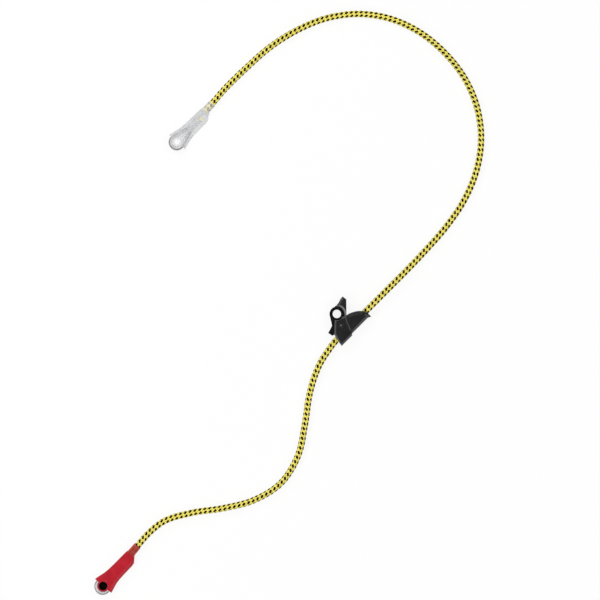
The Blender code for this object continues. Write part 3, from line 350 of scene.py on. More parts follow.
finishes = {
    "yellowYarn": yarnFinish("yellow_yarn", {
        "dark": (0.96, 0.775, 0.085), "light": (1.0, 0.925, 0.22), "twist": 0.12, "filaments": 1.1,
        "waver": 1.5, "depth": 0.00012, "roughness": 0.62, "specular": 0.20, "sheen": 0.04,
    }),
    "blackYarn": yarnFinish("black_yarn", {
        "dark": (0.003, 0.002, 0.001), "light": (0.007, 0.005, 0.003), "twist": 0.12, "filaments": 1.1,
        "waver": 1.5, "depth": 0.00012, "roughness": 0.75, "specular": 0.04, "sheen": 0.0,
    }),
    "lining": grainFinish("lining", {
        "dark": (0.45, 0.34, 0.03), "light": (0.55, 0.42, 0.04), "gloss": (0.8, 0.9),
        "patchScale": 80, "grainScale": 2500, "grainDepth": 0.0001,
    }),
    "cable": grainFinish("galvanised_wire", {
        "dark": (0.44, 0.44, 0.45), "light": (0.54, 0.54, 0.55), "gloss": (0.45, 0.6),
        "patchScale": 160, "grainScale": 3000, "grainDepth": 0.000005, "metal": 1,
    }),
    "thimble": grainFinish("thimble_steel", {
        "dark": (0.60, 0.60, 0.61), "light": (0.70, 0.70, 0.71), "gloss": (0.22, 0.36),
        "patchScale": 120, "grainScale": 1800, "grainDepth": 0.000004, "metal": 1,
    }),
    "paleThimble": grainFinish("thimble_steel_in_clear", {
        "dark": (0.52, 0.52, 0.53), "light": (0.62, 0.62, 0.63), "gloss": (0.50, 0.62),
        "patchScale": 120, "grainScale": 1800, "grainDepth": 0.000004, "metal": 1,
    }),
    "aluminium": grainFinish("pressed_aluminium", {
        "dark": (0.46, 0.46, 0.47), "light": (0.58, 0.58, 0.59), "gloss": (0.35, 0.5),
        "patchScale": 150, "grainScale": 2200, "grainDepth": 0.000008, "metal": 1,
    }),
    "clearPlastic": grainFinish("clear_plastic", {
        "dark": (0.75, 0.755, 0.76), "light": (0.81, 0.815, 0.82), "gloss": (0.03, 0.06),
        "patchScale": 60, "grainScale": 600, "grainDepth": 0.000001, "through": 0.72, "bending": 1.02,
    }),
    "redPlastic": grainFinish("red_plastic", {
        "dark": (0.40, 0.006, 0.016), "light": (0.50, 0.012, 0.026), "gloss": (0.26, 0.38),
        "patchScale": 70, "grainScale": 900, "grainDepth": 0.00001, "specular": 0.18,
    }),
    "redNeck": grainFinish("red_plastic_neck", {
        "dark": (0.72, 0.13, 0.10), "light": (0.80, 0.19, 0.13), "gloss": (0.06, 0.12),
        "patchScale": 70, "grainScale": 600, "grainDepth": 0.000002, "through": 0.7, "bending": 1.12,
    }),
    "blackRubber": grainFinish("black_rubber", {
        "dark": (0.001, 0.001, 0.001), "light": (0.002, 0.002, 0.002), "gloss": (0.42, 0.6),
        "patchScale": 150, "grainScale": 2500, "grainDepth": 0.00004, "specular": 0.03,
    }),
    "clearRubber": grainFinish("clear_rubber", {
        "dark": (0.84, 0.84, 0.84), "light": (0.88, 0.88, 0.88), "gloss": (0.04, 0.08),
        "patchScale": 150, "grainScale": 900, "grainDepth": 0.000002, "through": 0.7, "bending": 1.02,
    }),
    # painted shade for the thimbles' rolled edges: a darker reflection on the same steel
    "thimbleRimShade": grainFinish("thimble_rim_painted_shade", {
        "dark": (0.22, 0.22, 0.23), "light": (0.31, 0.31, 0.32), "gloss": (0.30, 0.44),
        "patchScale": 120, "grainScale": 1800, "grainDepth": 0.000004, "metal": 1,
    }),
    "yellowCap": grainFinish("yellow_cap", {
        "dark": (0.90, 0.78, 0.02), "light": (0.98, 0.87, 0.03), "gloss": (0.40, 0.5),
        "patchScale": 300, "grainScale": 2500, "grainDepth": 0.00003,
    }),
    "greyShrink": grainFinish("grey_shrink", {
        "dark": (0.34, 0.35, 0.36), "light": (0.42, 0.43, 0.44), "gloss": (0.45, 0.6),
        "patchScale": 200, "grainScale": 2500, "grainDepth": 0.00004,
    }),
    "blackShell": grainFinish("black_shell", {
        "dark": (0.004, 0.004, 0.005), "light": (0.008, 0.008, 0.009), "gloss": (0.26, 0.36),
        "patchScale": 90, "grainScale": 2600, "grainDepth": 0.00001, "specular": 0.20,
    }),
    # painted highlight for the shell's sloping facets and groove faces
    "shellPaintedHighlight": grainFinish("black_shell_painted_highlight", {
        "dark": (0.040, 0.040, 0.041), "light": (0.062, 0.062, 0.063), "gloss": (0.28, 0.40),
        "patchScale": 140, "grainScale": 2600, "grainDepth": 0.00001, "specular": 0.24,
    }),
    # painted highlight for the lever's scoop beside the ring
    "leverScoopHighlight": grainFinish("black_lever_scoop_painted_highlight", {
        "dark": (0.12, 0.12, 0.12), "light": (0.17, 0.17, 0.17), "gloss": (0.30, 0.42),
        "patchScale": 140, "grainScale": 2200, "grainDepth": 0.00001, "specular": 0.30,
    }),
    # painted highlight for the lever's ribbed pad
    "leverPadHighlight": grainFinish("black_lever_pad_painted_highlight", {
        "dark": (0.040, 0.040, 0.040), "light": (0.065, 0.065, 0.065), "gloss": (0.34, 0.46),
        "patchScale": 200, "grainScale": 2200, "grainDepth": 0.00001, "specular": 0.26,
    }),
    "blackCam": grainFinish("black_cam", {
        "dark": (0.002, 0.002, 0.002), "light": (0.004, 0.004, 0.004), "gloss": (0.30, 0.42),
        "patchScale": 90, "grainScale": 2600, "grainDepth": 0.00002, "specular": 0.08,
    }),
    "blackLever": grainFinish("black_lever", {
        "dark": (0.003, 0.003, 0.003), "light": (0.006, 0.006, 0.006), "gloss": (0.28, 0.38),
        "patchScale": 90, "grainScale": 2200, "grainDepth": 0.00001, "specular": 0.26,
    }),
    "rivetHead": grainFinish("rivet_black", {
        "dark": (0.004, 0.004, 0.005), "light": (0.008, 0.008, 0.009), "gloss": (0.30, 0.40),
        "patchScale": 200, "grainScale": 2600, "grainDepth": 0.00001, "specular": 0.20,
    }),
    "rivetPeen": grainFinish("rivet_steel", {
        "dark": (0.10, 0.10, 0.10), "light": (0.15, 0.15, 0.15), "gloss": (0.34, 0.46),
        "patchScale": 400, "grainScale": 3000, "grainDepth": 0.000004, "metal": 1,
    }),
    "bronze": grainFinish("bronze", {
        "dark": (0.42, 0.27, 0.12), "light": (0.54, 0.36, 0.17), "gloss": (0.34, 0.48),
        "patchScale": 300, "grainScale": 2500, "grainDepth": 0.00003, "metal": 1,
    }),
    "nylon": grainFinish("nylon", {
        "dark": (0.66, 0.65, 0.60), "light": (0.76, 0.75, 0.71), "gloss": (0.45, 0.58),
        "patchScale": 300, "grainScale": 2500, "grainDepth": 0.00003,
    }),
    "springSteel": grainFinish("spring_steel", {
        "dark": (0.44, 0.44, 0.45), "light": (0.54, 0.54, 0.55), "gloss": (0.24, 0.36),
        "patchScale": 400, "grainScale": 3000, "grainDepth": 0.00001, "metal": 1,
    }),
}
print("materials made")


# rope: a braided sheath over a lining and a steel cable

rope = {
    "diameter": 0.012,
    "length": 1.8273,
    "coverLength": 0.100,        # from the eye's middle to the cover's mouth
    "sheathStart": 0.080,        # from the eye's middle to the sheath's cut end
    "straightRun": (0.156, -0.036),  # along the adjuster's axis, where the rope lies straight
    "runSteps": 5,
    "smoothSteps": 12,           # points of the smooth line for each point of the route
    "heightInAdjuster": 0.0097,
    "pivotAcross": 0.0144,
    "liningRadius": 0.0049,
    "liningSides": 16,
    "liningStep": 0.004,
    "upperRoute": [
        (-0.0177, 0.4882, 0.0062), (0.0257, 0.5309, 0.0062), (0.0714, 0.5708, 0.0062),
        (0.1231, 0.6031, 0.0062), (0.1794, 0.6257, 0.0062), (0.2396, 0.6337, 0.0062),
        (0.2996, 0.6246, 0.0062), (0.3549, 0.5991, 0.0062), (0.4020, 0.5607, 0.0062),
        (0.4397, 0.5130, 0.0062), (0.4638, 0.4572, 0.0062), (0.4718, 0.3969, 0.0062),
        (0.4632, 0.3369, 0.0062), (0.4399, 0.2807, 0.0062), (0.4060, 0.2303, 0.0063),
        (0.3651, 0.1835, 0.0072),
    ],
    "lowerRoute": [
        (0.1833, -0.0030, 0.0092), (0.1668, -0.0287, 0.0079), (0.1549, -0.0568, 0.0068),
        (0.1467, -0.0860, 0.0063), (0.1373, -0.1461, 0.0062), (0.1239, -0.2054, 0.0062),
        (0.0918, -0.2567, 0.0062), (0.0407, -0.2890, 0.0062), (-0.0182, -0.3045, 0.0062),
        (-0.0785, -0.3135, 0.0062), (-0.1349, -0.3320, 0.0063), (-0.1599, -0.3527, 0.0064),
    ],
}


# from one cut end of the sheath, through the adjuster, to the other
def ropeRoute():
    places = (rope["sheathStart"], rope["coverLength"])
    clear = [clearEnd @ Vector((x, 0, 0)) for x in places]
    red = [redEnd @ Vector((x, 0, 0)) for x in reversed(places)]
    first, last = rope["straightRun"]
    count = rope["runSteps"]
    through = []
    for i in range(count + 1):
        point = pivotAxes @ Vector((first + (last - first) * i / count, -rope["pivotAcross"], 0))
        point.z = rope["heightInAdjuster"]
        through.append(point)
    route = [clear, rope["upperRoute"], through, rope["lowerRoute"], red]
    return smoothThrough([tuple(point) for stretch in route for point in stretch], rope["smoothSteps"])


braid = {
    "each": 10,                  # strands each way, every second of the left hand ones black
    "row": 0.00933,              # between one black float and the next along the rope
    "start": 0.0075,             # length along the rope at which the strands start to be counted
    "middleRadius": 0.00528,
    "wave": 0.00037,             # how far a strand lies above or below the middle radius
    "shoulder": (0.6, 0.8),      # a strand's section bends here, in its half width and half thickness
    # half sizes, how squarely a strand turns over and under, how much longer its floats are, and their rise
    "yellow": {
        "halfWidth": 0.00148, "halfThickness": 0.00036, "squareness": 1.35, "longer": 0, "proud": 0,
    },
    "black": {
        "halfWidth": 0.00196, "halfThickness": 0.00036, "squareness": 3.5, "longer": 0.32, "proud": 0.00022,
    },
    "stepsEachRow": 7,
    "top": 90,                   # degrees from the rope's left to its top
    # how far the rows of floats lie to the right of the top, in degrees, by the length along the rope
    "rowTurns": [
        (0.00, 12), (0.09, 5), (0.17, -3), (0.24, -22), (0.32, -27), (0.39, -39), (0.47, -43),
        (0.55, -49), (0.70, -48), (0.81, -41), (0.93, -46), (1.30, -55), (1.37, -62), (1.45, -67),
        (1.52, -72), (1.60, -85), (1.68, -107), (1.83, -120),
    ],
    "rowPlace": 9.0,             # degrees from a column to the middle of its float
}


# directions to the left and up at each point of a line
def lineFrames(line):
    along = np.gradient(line, axis=0)
    along /= np.linalg.norm(along, axis=1)[:, None]
    left = np.cross((0, 0, 1), along)
    left /= np.linalg.norm(left, axis=1)[:, None]
    return left, np.cross(along, left)


# directions away from a line, for turns from its left towards up
def awayFrom(left, up, turn):
    return np.cos(turn)[..., None] * left + np.sin(turn)[..., None] * up


def evenTurns(sides):
    return 2 * math.pi * np.arange(sides) / sides


# joins rings of points into closed tubes: rings is (tubes, steps, sides, 3), each ring turning left to up
def tubesMesh(name, rings, lengths):
    tubes, steps, sides, _ = rings.shape
    index = np.arange(tubes * steps * sides).reshape(tubes, steps, sides)
    turned = np.roll(index, -1, axis=2)
    quads = np.stack([index[:, :-1], turned[:, :-1], turned[:, 1:], index[:, 1:]], axis=-1).reshape(-1, 4)
    caps = index[:, 0, ::-1].tolist() + index[:, -1].tolist()
    mesh = bpy.data.meshes.new(name)
    mesh.from_pydata(rings.reshape(-1, 3).tolist(), [], quads.tolist() + caps)
    u = np.broadcast_to(lengths[:, :, None], (tubes, steps, sides)) * strandMap["perMetre"]
    v = np.broadcast_to(np.arange(sides), (tubes, steps, sides))
    flat = np.zeros((quads.size + 2 * tubes * sides, 2), np.float32)
    quadU = np.stack([u[:, :-1], u[:, :-1], u[:, 1:], u[:, 1:]], axis=-1)
    quadV = np.stack([v[:, :-1], v[:, :-1] + 1, v[:, 1:] + 1, v[:, 1:]], axis=-1)
    flat[: quads.size, 0] = quadU.ravel()
    flat[: quads.size, 1] = quadV.ravel()
    layer = mesh.uv_layers.new(name=strandMap["name"])
    layer.uv.foreach_set("vector", flat.ravel())
    mesh.shade_smooth()
    piece = bpy.data.objects.new(name, mesh)
    bpy.context.scene.collection.objects.link(piece)
    return piece


# flattened strands that wind round the line one way and pass over and under those of the other way
def braidStrands(name, line, at, handed, chosen, colour):
    left, up = lineFrames(line)
    perMetre = 2 * math.pi / (braid["each"] / 2) / braid["row"]
    turns = np.radians(np.interp(at, *zip(*braid["rowTurns"])) + braid["top"] - braid["rowPlace"])
    shape = braid[colour]
    w, h = shape["halfWidth"], shape["halfThickness"]
    a, b = braid["shoulder"]
    section = [(w, 0), (a * w, b * h), (0, h), (a * -w, b * h), (-w, 0), (0, -h)]
    rings, lengths = [], []
    for i in chosen:
        own = 2 * math.pi * i / braid["each"] + handed * perMetre * (at - braid["start"])
        column = own * braid["each"] / math.pi
        wave = -handed * np.cos(math.pi / 2 * (column - 0.5)) + shape["longer"]   # over two, under two
        wave = np.clip(shape["squareness"] * wave, -1, 1)
        radius = braid["middleRadius"] + braid["wave"] * wave + shape["proud"] * (wave > 0)
        out = awayFrom(left, up, own + turns)
        centre = line + out * radius[:, None]
        run = np.gradient(centre, axis=0)
        steps = np.linalg.norm(run, axis=1)
        run /= steps[:, None]
        across = np.cross(out, run)
        across /= np.linalg.norm(across, axis=1)[:, None]
        rings.append(np.stack([centre + across * side + out * rise for side, rise in section], axis=1))
        lengths.append(np.cumsum(steps))
    piece = tubesMesh(name, np.array(rings), np.array(lengths))
    piece.data.materials.append(finishes[colour + "Yarn"])
    return piece


def roundTube(name, line, radius, sides, material):
    left, up = lineFrames(line)
    ring = awayFrom(left[:, None], up[:, None], evenTurns(sides))
    piece = tubesMesh(name, (line[:, None] + radius * ring)[None], lengthsAlong(line)[None])
    piece.data.materials.append(material)
    return piece


# inner fittings of an end: the cable's turn round the eye, and the thimble under it

inner = {
    "cableRadius": 0.0024,
    "cableGap": 0.0003,
    "turnRadius": 0.0126,        # of the cable's middle round the eye
    "ferruleStart": 0.038,       # from the eye's middle
    "ferruleLength": 0.023,
    "strandGap": 0.0014,         # between the two strands in the ferrule
    "strandShift": -0.0012,      # of the two strands' middle, sideways
    "legShares": (0.08, 0.86),   # places on each leg between the turn and the ferrule
    "sealLength": 0.007,
    "capLength": 0.0048,
    "tailLength": 0.0028,
    "leadShare": 0.8,            # of its sideways place that the rope's strand keeps past the ferrule
    "turnSteps": 14,
}


# sideways places of the two strands in the ferrule: the rope's own, then the tail
def strandPlaces():
    half = inner["cableRadius"] + inner["strandGap"] / 2
    return inner["strandShift"] + half, inner["strandShift"] - half


# directions from the eye at which the cable starts and ends its turn
def turnEnds():
    made = []
    for side, sign in zip(strandPlaces(), (1, -1)):
        heading = math.atan2(side, inner["ferruleStart"])
        opening = math.acos(inner["turnRadius"] / math.hypot(inner["ferruleStart"], side))
        made.append(heading + sign * opening)
    return made[0], made[1] + 2 * math.pi


def aroundEye(radius, start, end, steps):
    return [(radius * math.cos(start + (end - start) * i / steps),
             radius * math.sin(start + (end - start) * i / steps)) for i in range(steps + 1)]


# the cable from inside the sheath, round the eye and back to its tail
def cableTurn(axes):
    ropeSide, tailSide = strandPlaces()
    begin, length = inner["ferruleStart"], inner["ferruleLength"]
    middle, past, bare = begin + length / 2, begin + length, rope["sheathStart"]
    lead = [
        (bare, 0), (bare - inner["sealLength"], 0),
        (past + inner["capLength"], inner["leadShare"] * ropeSide),
        (past, ropeSide), (middle, ropeSide), (begin, ropeSide),
    ]
    turn = aroundEye(inner["turnRadius"], *turnEnds(), inner["turnSteps"])
    legs = []
    for near, far in ((turn[0], (begin, ropeSide)), (turn[-1], (begin, tailSide))):
        legs.append([tuple(Vector(near).lerp(Vector(far), share)) for share in inner["legShares"]])
    turn = legs[0][::-1] + turn + legs[1]
    tail = [(x, tailSide) for x in (begin, middle, past, past + inner["tailLength"])]
    return [axes @ Vector((x, y, 0)) for x, y in lead + turn + tail]


ropeLine = ropeRoute()
braidLine, braidAt = evenSteps(ropeLine, braid["row"] / braid["stepsEachRow"])
blackOnes, yellowOnes = range(0, braid["each"], 2), range(1, braid["each"], 2)
blackStrands = braidStrands("black_strands", braidLine, braidAt, -1, blackOnes, "black")
yellowStrands = braidStrands("yellow_strands_left", braidLine, braidAt, -1, yellowOnes, "yellow")
crossStrands = braidStrands("yellow_strands_right", braidLine, braidAt, 1, range(braid["each"]), "yellow")
liningLine = evenSteps(ropeLine, rope["liningStep"])[0]
lining = roundTube("rope_lining", liningLine, rope["liningRadius"], rope["liningSides"], finishes["lining"])
print("rope braided:", round(float(braidAt[-1]), 4), "m")

cable = {
    "strands": 6,
    "strandRadius": 0.0008,
    "layRadius": 0.00158,
    "lay": 0.030,                # length of one turn of a strand
    "step": 0.0022,
    "sides": 6,
    "smoothSteps": 6,
}


# six strands laid round a straight one
def laidCable(name, line, material):
    line, at = evenSteps(line, cable["step"])
    left, up = lineFrames(line)
    circle = awayFrom(left[:, None], up[:, None], evenTurns(cable["sides"]))
    rings = []
    for i in range(cable["strands"] + 1):
        turn = 2 * math.pi * (i / cable["strands"] + at / cable["lay"])
        radius = cable["layRadius"] if i < cable["strands"] else 0
        centre = line + radius * awayFrom(left, up, turn)
        rings.append(centre[:, None] + cable["strandRadius"] * circle)
    piece = tubesMesh(name, np.array(rings), np.tile(at, (cable["strands"] + 1, 1)))
    piece.data.materials.append(material)
    return piece


clearTurn, redTurn = cableTurn(clearEnd), cableTurn(redEnd)
inRope = ropeLine[::rope["smoothSteps"]].tolist()
core = [tuple(p) for p in clearTurn[:0:-1]] + inRope + [tuple(p) for p in redTurn[1:]]
laid = laidCable("cable", smoothThrough(core, cable["smoothSteps"]), finishes["cable"])

thimble = {
    "wall": 0.0015,
    "clearFlange": 0.0030,       # how far the channel's walls reach past the cable's middle
    "redFlange": 0.0048,
    "legFlange": 0.0024,
    "turnSteps": 60,
    "bendSteps": 12,
    "tipSteps": 4,
    "wallSteps": 7,
    "rim": {"clear": 0.0036, "red": 0.0025},   # how far in from its edge a wall takes painted shade, a darker reflection of the rolled edge
}


# how far the legs run towards the ferrule before their inner walls would meet
def thimbleTips(start, end):
    apart = inner["cableRadius"] + 2 * inner["cableGap"] + thimble["wall"]
    tips = []
    for angle, side in zip((start, end), strandPlaces()):
        x0, y0 = inner["turnRadius"] * math.cos(angle), inner["turnRadius"] * math.sin(angle)
        slope = (side - y0) / (inner["ferruleStart"] - x0)
        lean = inner["strandShift"] / inner["ferruleStart"]
        x = (math.copysign(apart, y0) - y0 + slope * x0) / (slope - lean)
        tips.append((x, y0 + slope * (x - x0)))
    return tips


def arcPoints(x, y, radius, turns):
    return [(x + radius * math.cos(turn), y + radius * math.sin(turn)) for turn in turns]


# section of the rolled channel: outward from the cable's middle, and height
def channelSection(flange):
    half = thimble["wall"] / 2
    middle = inner["cableRadius"] + inner["cableGap"] + half
    bend = [math.pi / 2 + math.pi * i / thimble["bendSteps"] for i in range(thimble["bendSteps"] + 1)]
    tip = [math.pi * i / thimble["tipSteps"] - math.pi / 2 for i in range(thimble["tipSteps"] + 1)]
    outside = arcPoints(0, 0, middle + half, bend)
    inside = arcPoints(0, 0, middle - half, bend[::-1])
    low = arcPoints(flange - half, -middle, half, tip)
    high = arcPoints(flange - half, middle, half, tip)
    runs = [outside, low, inside, high]
    made = []
    for run, after in zip(runs, runs[1:] + runs[:1]):
        (x0, z0), (x1, z1) = run[-1], after[0]
        steps = [i / thimble["wallSteps"] for i in range(1, thimble["wallSteps"])]
        made += run + [(x0 + (x1 - x0) * t, z0 + (z1 - z0) * t) for t in steps]
    return made[::-1]


def rolledThimble(name, axes, flange, rim, materials):
    start, end = turnEnds()
    tips = thimbleTips(start, end)
    turn = aroundEye(inner["turnRadius"], start, end, thimble["turnSteps"])
    path = np.array([tips[0]] + turn + [tips[1]])
    run = np.gradient(path, axis=0)
    run /= np.linalg.norm(run, axis=1)[:, None]
    out = np.stack([run[:, 1], -run[:, 0]], axis=1)
    place = np.array(axes)
    rings, dark = [], []
    for i, (point, away) in enumerate(zip(path, out)):
        fromCrown = abs(2 * i / (len(path) - 1) - 1)
        reach = flange - (flange - thimble["legFlange"]) * fromCrown**2
        section = np.array(channelSection(reach))
        flat = point + away * section[:, :1]
        rings.append(np.column_stack([flat, section[:, 1], np.ones(len(section))]) @ place[:3].T)
        dark.append(section[:, 0] > reach - rim)
    piece = tubesMesh(name, np.array(rings)[None], lengthsAlong(path)[None])
    for material in materials:
        piece.data.materials.append(material)
    # faces near a wall's edge take the second finish, painted shade for the dim reflection of the rolled edge
    dark = np.array(dark)
    both = dark[:-1] & np.roll(dark, -1, axis=1)[:-1]
    piece.data.polygons.foreach_set("material_index", both.astype(int).ravel().tolist() + [0, 0])
    return piece


thimbles = {
    end: rolledThimble(end + "_thimble_steel", axes, thimble[end + "Flange"], thimble["rim"][end],
                       (finishes[steel], finishes["thimbleRimShade"]))
    for end, axes, steel in (("clear", clearEnd, "paleThimble"), ("red", redEnd, "thimble"))
}
print("cable laid and thimbles rolled")


# rigid pieces that stand for a CAD node: its facets joined and its edges rounded

edges = {
    "merge": 0.00001,            # corners closer than this become one
    "flat": math.radians(0.4),   # facets that meet flatter than this become one
    "segments": 2,
    "sharp": math.radians(32),   # edges sharper than this are rounded
    "smooth": math.radians(38),
    "slopes": (15, 36),          # of the facets that take a painted highlight, in degrees
    "neck": 0.079,               # from the eye's middle to where a cover lies thin on the rope
}

bodyOf = {node: body for body, nodes in frame["record"]["behaviour"]["bodies"].items() for node in nodes}

# CAD node, the dressed piece's name, how far its edges are rounded, its finish and its slot
dressed = [
    ("clear_sleeve", "clear_cover", 0.0002, "clearPlastic", "clear_plastic"),
    ("red_sleeve", "red_cover", 0.0002, "redPlastic", "red_plastic"),
    ("clear_ferrule", "clear_ferrule_pressed", 0.0002, "aluminium", "ferrule_aluminium"),
    ("red_ferrule", "red_ferrule_pressed", 0.0002, "aluminium", "ferrule_aluminium"),
    ("clear_tail_cap", "clear_tail_end", 0.0001, "yellowCap", "yellow_plastic"),
    ("red_tail_cap", "red_tail_end", 0.0001, "yellowCap", "yellow_plastic"),
    ("clear_sheath_seal", "clear_seal", 0.0001, "greyShrink", "grey_shrink"),
    ("red_sheath_seal", "red_seal", 0.0001, "greyShrink", "grey_shrink"),
    ("clear_eye_insert", "clear_eye_bush", 0.0002, "clearRubber", "clear_rubber"),
    ("red_eye_insert", "red_eye_bush", 0.0002, "blackRubber", "black_rubber"),
    ("adjuster_shell", "adjuster_cheeks", 0.0003, "blackShell", "black_shell"),
    ("cam", "cam_body", 0.0002, "blackCam", "black_cam"),
    ("pivot_rivet", "rivet", 0.0001, "rivetHead", "dark_steel"),
    ("pivot_bush", "bush", 0.0001, "bronze", "bronze"),
    ("upper_washer", "washer_upper", 0.00008, "nylon", "nylon"),
    ("lower_washer", "washer_lower", 0.00008, "nylon", "nylon"),
    ("cam_spring", "spring", 0.0, "springSteel", "spring_steel"),
]


def roundEdges(piece, width):
    bevel = piece.modifiers.new("edges", "BEVEL")
    bevel.width = width
    bevel.segments = edges["segments"]
    bevel.limit_method = "ANGLE"
    bevel.angle_limit = edges["sharp"]
    applyAll(piece)


def roundedCopy(node, name, width, reshape=None):
    piece = bpy.data.objects.new(name, frame["nodes"][node].data.copy())
    bpy.context.scene.collection.objects.link(piece)
    named(piece, name)
    selectOnly(piece)
    bpy.ops.mesh.customdata_custom_splitnormals_clear()
    editAll(piece)
    bpy.ops.mesh.remove_doubles(threshold=edges["merge"])
    bpy.ops.mesh.dissolve_limited(angle_limit=edges["flat"])
    leaveEdit()
    if reshape:
        reshape(piece)
    if width:
        roundEdges(piece, width)
    bpy.ops.object.shade_smooth_by_angle(angle=edges["smooth"])
    return piece


# beyond this place along the end, the cover is thin and lets the rope show
def thinNeck(piece, axes, start, material):
    editAll(piece)
    bpy.ops.mesh.bisect(plane_co=axes @ Vector((start, 0, 0)), plane_no=axes.to_3x3() @ Vector((1, 0, 0)))
    leaveEdit()
    piece.data.materials.append(material)
    back = axes.inverted()
    places = [(back @ face.center).x for face in piece.data.polygons]
    piece.data.polygons.foreach_set("material_index", [int(place > start) for place in places])


# the folded back, drawn out from a half round to a tighter bend at its two corners
shellShape = {
    "backMiddle": -0.0162,       # across from the pivot, where the round back starts
    "outsideFrom": 0.0086,       # radius beyond which a corner belongs to the outer face
    "squareness": 3.6,           # 2 is a half round, and more is squarer
    "halfHeight": 0.0104,
}


def squareBack(piece):
    back = pivotAxes.inverted()
    for vertex in piece.data.vertices:
        x, y, z = back @ vertex.co
        across = y - shellShape["backMiddle"]
        reach = math.hypot(across, z)
        if across < 0 and reach > shellShape["outsideFrom"]:
            power = shellShape["squareness"]
            grow = ((abs(across) / reach) ** power + (abs(z) / reach) ** power) ** (-1 / power)
            z = max(-shellShape["halfHeight"], min(shellShape["halfHeight"], z * grow))
            vertex.co = pivotAxes @ Vector((x, shellShape["backMiddle"] + across * grow, z))


# two shallow grooves follow the dome's edge on each cheek
grooves = {
    "dome": [(0.0196, 0.0069), (0.0283, 0.0044), (0.0374, -0.0003), (0.0445, -0.0055),
             (0.0500, -0.0124), (0.0524, -0.0196)],
    "domeSteps": 6,
    "inside": (0.0034, 0.0056),  # from the edge
    "first": 2,                  # points of the smoothed edge between which they run
    "last": -3,
    "radius": 0.00055,
    "height": 0.00965,           # of the cutter's middle, from the middle of the adjuster
    "sides": 10,
    "highlightHeights": (0.0090, 0.00957),   # between which a groove's faces lie, which take a painted highlight
    "highlightFrom": -0.0130,         # and across from the pivot, clear of the back
}


def combine(piece, other, operation):
    joining = piece.modifiers.new("combine", "BOOLEAN")
    joining.operation = operation
    joining.solver = "EXACT"
    joining.object = other
    applyAll(piece)
    bpy.data.objects.remove(other)


def shapeShell(piece):
    squareBack(piece)
    dome = smoothThrough([(x, y, 0) for x, y in grooves["dome"]], grooves["domeSteps"])
    run = np.gradient(dome, axis=0)
    run /= np.linalg.norm(run, axis=1)[:, None]
    inward = np.stack([run[:, 1], -run[:, 0], run[:, 2]], axis=1)
    for inside in grooves["inside"]:
        for height in (grooves["height"], -grooves["height"]):
            line = (dome + inward * inside)[grooves["first"]:grooves["last"]] + (0, 0, height)
            line = np.array([pivotAxes @ Vector(point) for point in line])
            cutter = roundTube("groove", line, grooves["radius"], grooves["sides"], finishes["blackShell"])
            combine(piece, cutter, "DIFFERENCE")


rivet = {
    "radius": 0.0027,
    "flatness": 0.26,
    "upper": 0.0103,             # heights from the middle of the adjuster
    "lower": 0.0098,
    "segments": 32,
    "rings": 16,
}


# the rivet's two peened middles: a ball pressed flat, with its inner half cut off
def makePeen(name, side, height):
    bpy.ops.object.select_all(action="DESELECT")
    bpy.ops.mesh.primitive_uv_sphere_add(
        segments=rivet["segments"], ring_count=rivet["rings"], radius=rivet["radius"])
    piece = named(bpy.context.object, name)
    editAll(piece)
    bpy.ops.transform.resize(value=(1, 1, rivet["flatness"]))
    bpy.ops.mesh.bisect(plane_co=(0, 0, 0), plane_no=(0, 0, side), clear_inner=True, use_fill=True)
    leaveEdit()
    faceOutwards(piece)
    piece.data.transform(pivotAxes @ Matrix.Translation((0, 0, side * height)))
    bpy.ops.object.shade_smooth_by_angle(angle=edges["smooth"])
    piece.data.materials.append(finishes["rivetPeen"])
    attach(piece, "adjuster")


# degrees between a face and the flat of the cheeks
def slopeOf(face):
    return math.degrees(math.acos(min(1, abs(face.normal.z))))


# the shell's faces which slope like a rim or lie in the grooves take a greyer colour: a painted highlight where
# the lamps would glint on them
def paintSlopeHighlights(piece, material, low, high):
    piece.data.materials.append(material)
    back = pivotAxes.inverted()
    deep, shallow = grooves["highlightHeights"]
    for face in piece.data.polygons:
        _, y, z = back @ face.center
        inGroove = deep < abs(z) < shallow and y > grooves["highlightFrom"]
        face.material_index = int(low < slopeOf(face) < high or inGroove)


# a rubber bush swells to fill its seat: what lies beyond the rim moves outwards
bush = {"rim": 0.0075, "swell": 0.00028}


def fillSeat(piece):
    corners = [Vector(corner) for corner in piece.bound_box]
    middle = (corners[0] + corners[6]) / 2
    for vertex in piece.data.vertices:
        out = vertex.co - middle
        out.z = 0
        if out.length > bush["rim"]:
            vertex.co += out.normalized() * bush["swell"]


reshapes = {"adjuster_shell": shapeShell, "red_eye_insert": fillSeat, "clear_eye_insert": fillSeat}
pieces = {}
for node, name, width, finish, slot in dressed:
    piece = roundedCopy(node, name, width, reshapes.get(node))
    piece.data.materials.clear()
    piece.data.materials.append(finishes[finish])
    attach(piece, bodyOf[node])
    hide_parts(node)
    pieces[node] = piece
paintSlopeHighlights(pieces["adjuster_shell"], finishes["shellPaintedHighlight"], *edges["slopes"])
makePeen("rivet_peen_upper", 1, rivet["upper"])
makePeen("rivet_peen_lower", -1, rivet["lower"])
for node in ("clear_sleeve", "clear_eye_insert"):
    pieces[node].visible_shadow = False   # clear plastic lets the lamps' light through
thinNeck(pieces["red_sleeve"], redEnd, edges["neck"], finishes["redNeck"])
print("rigid pieces dressed:", len(pieces))


# thumb lever: a moulding on the cam's tang, with a scoop beside the ring, a pocket and a ribbed pad

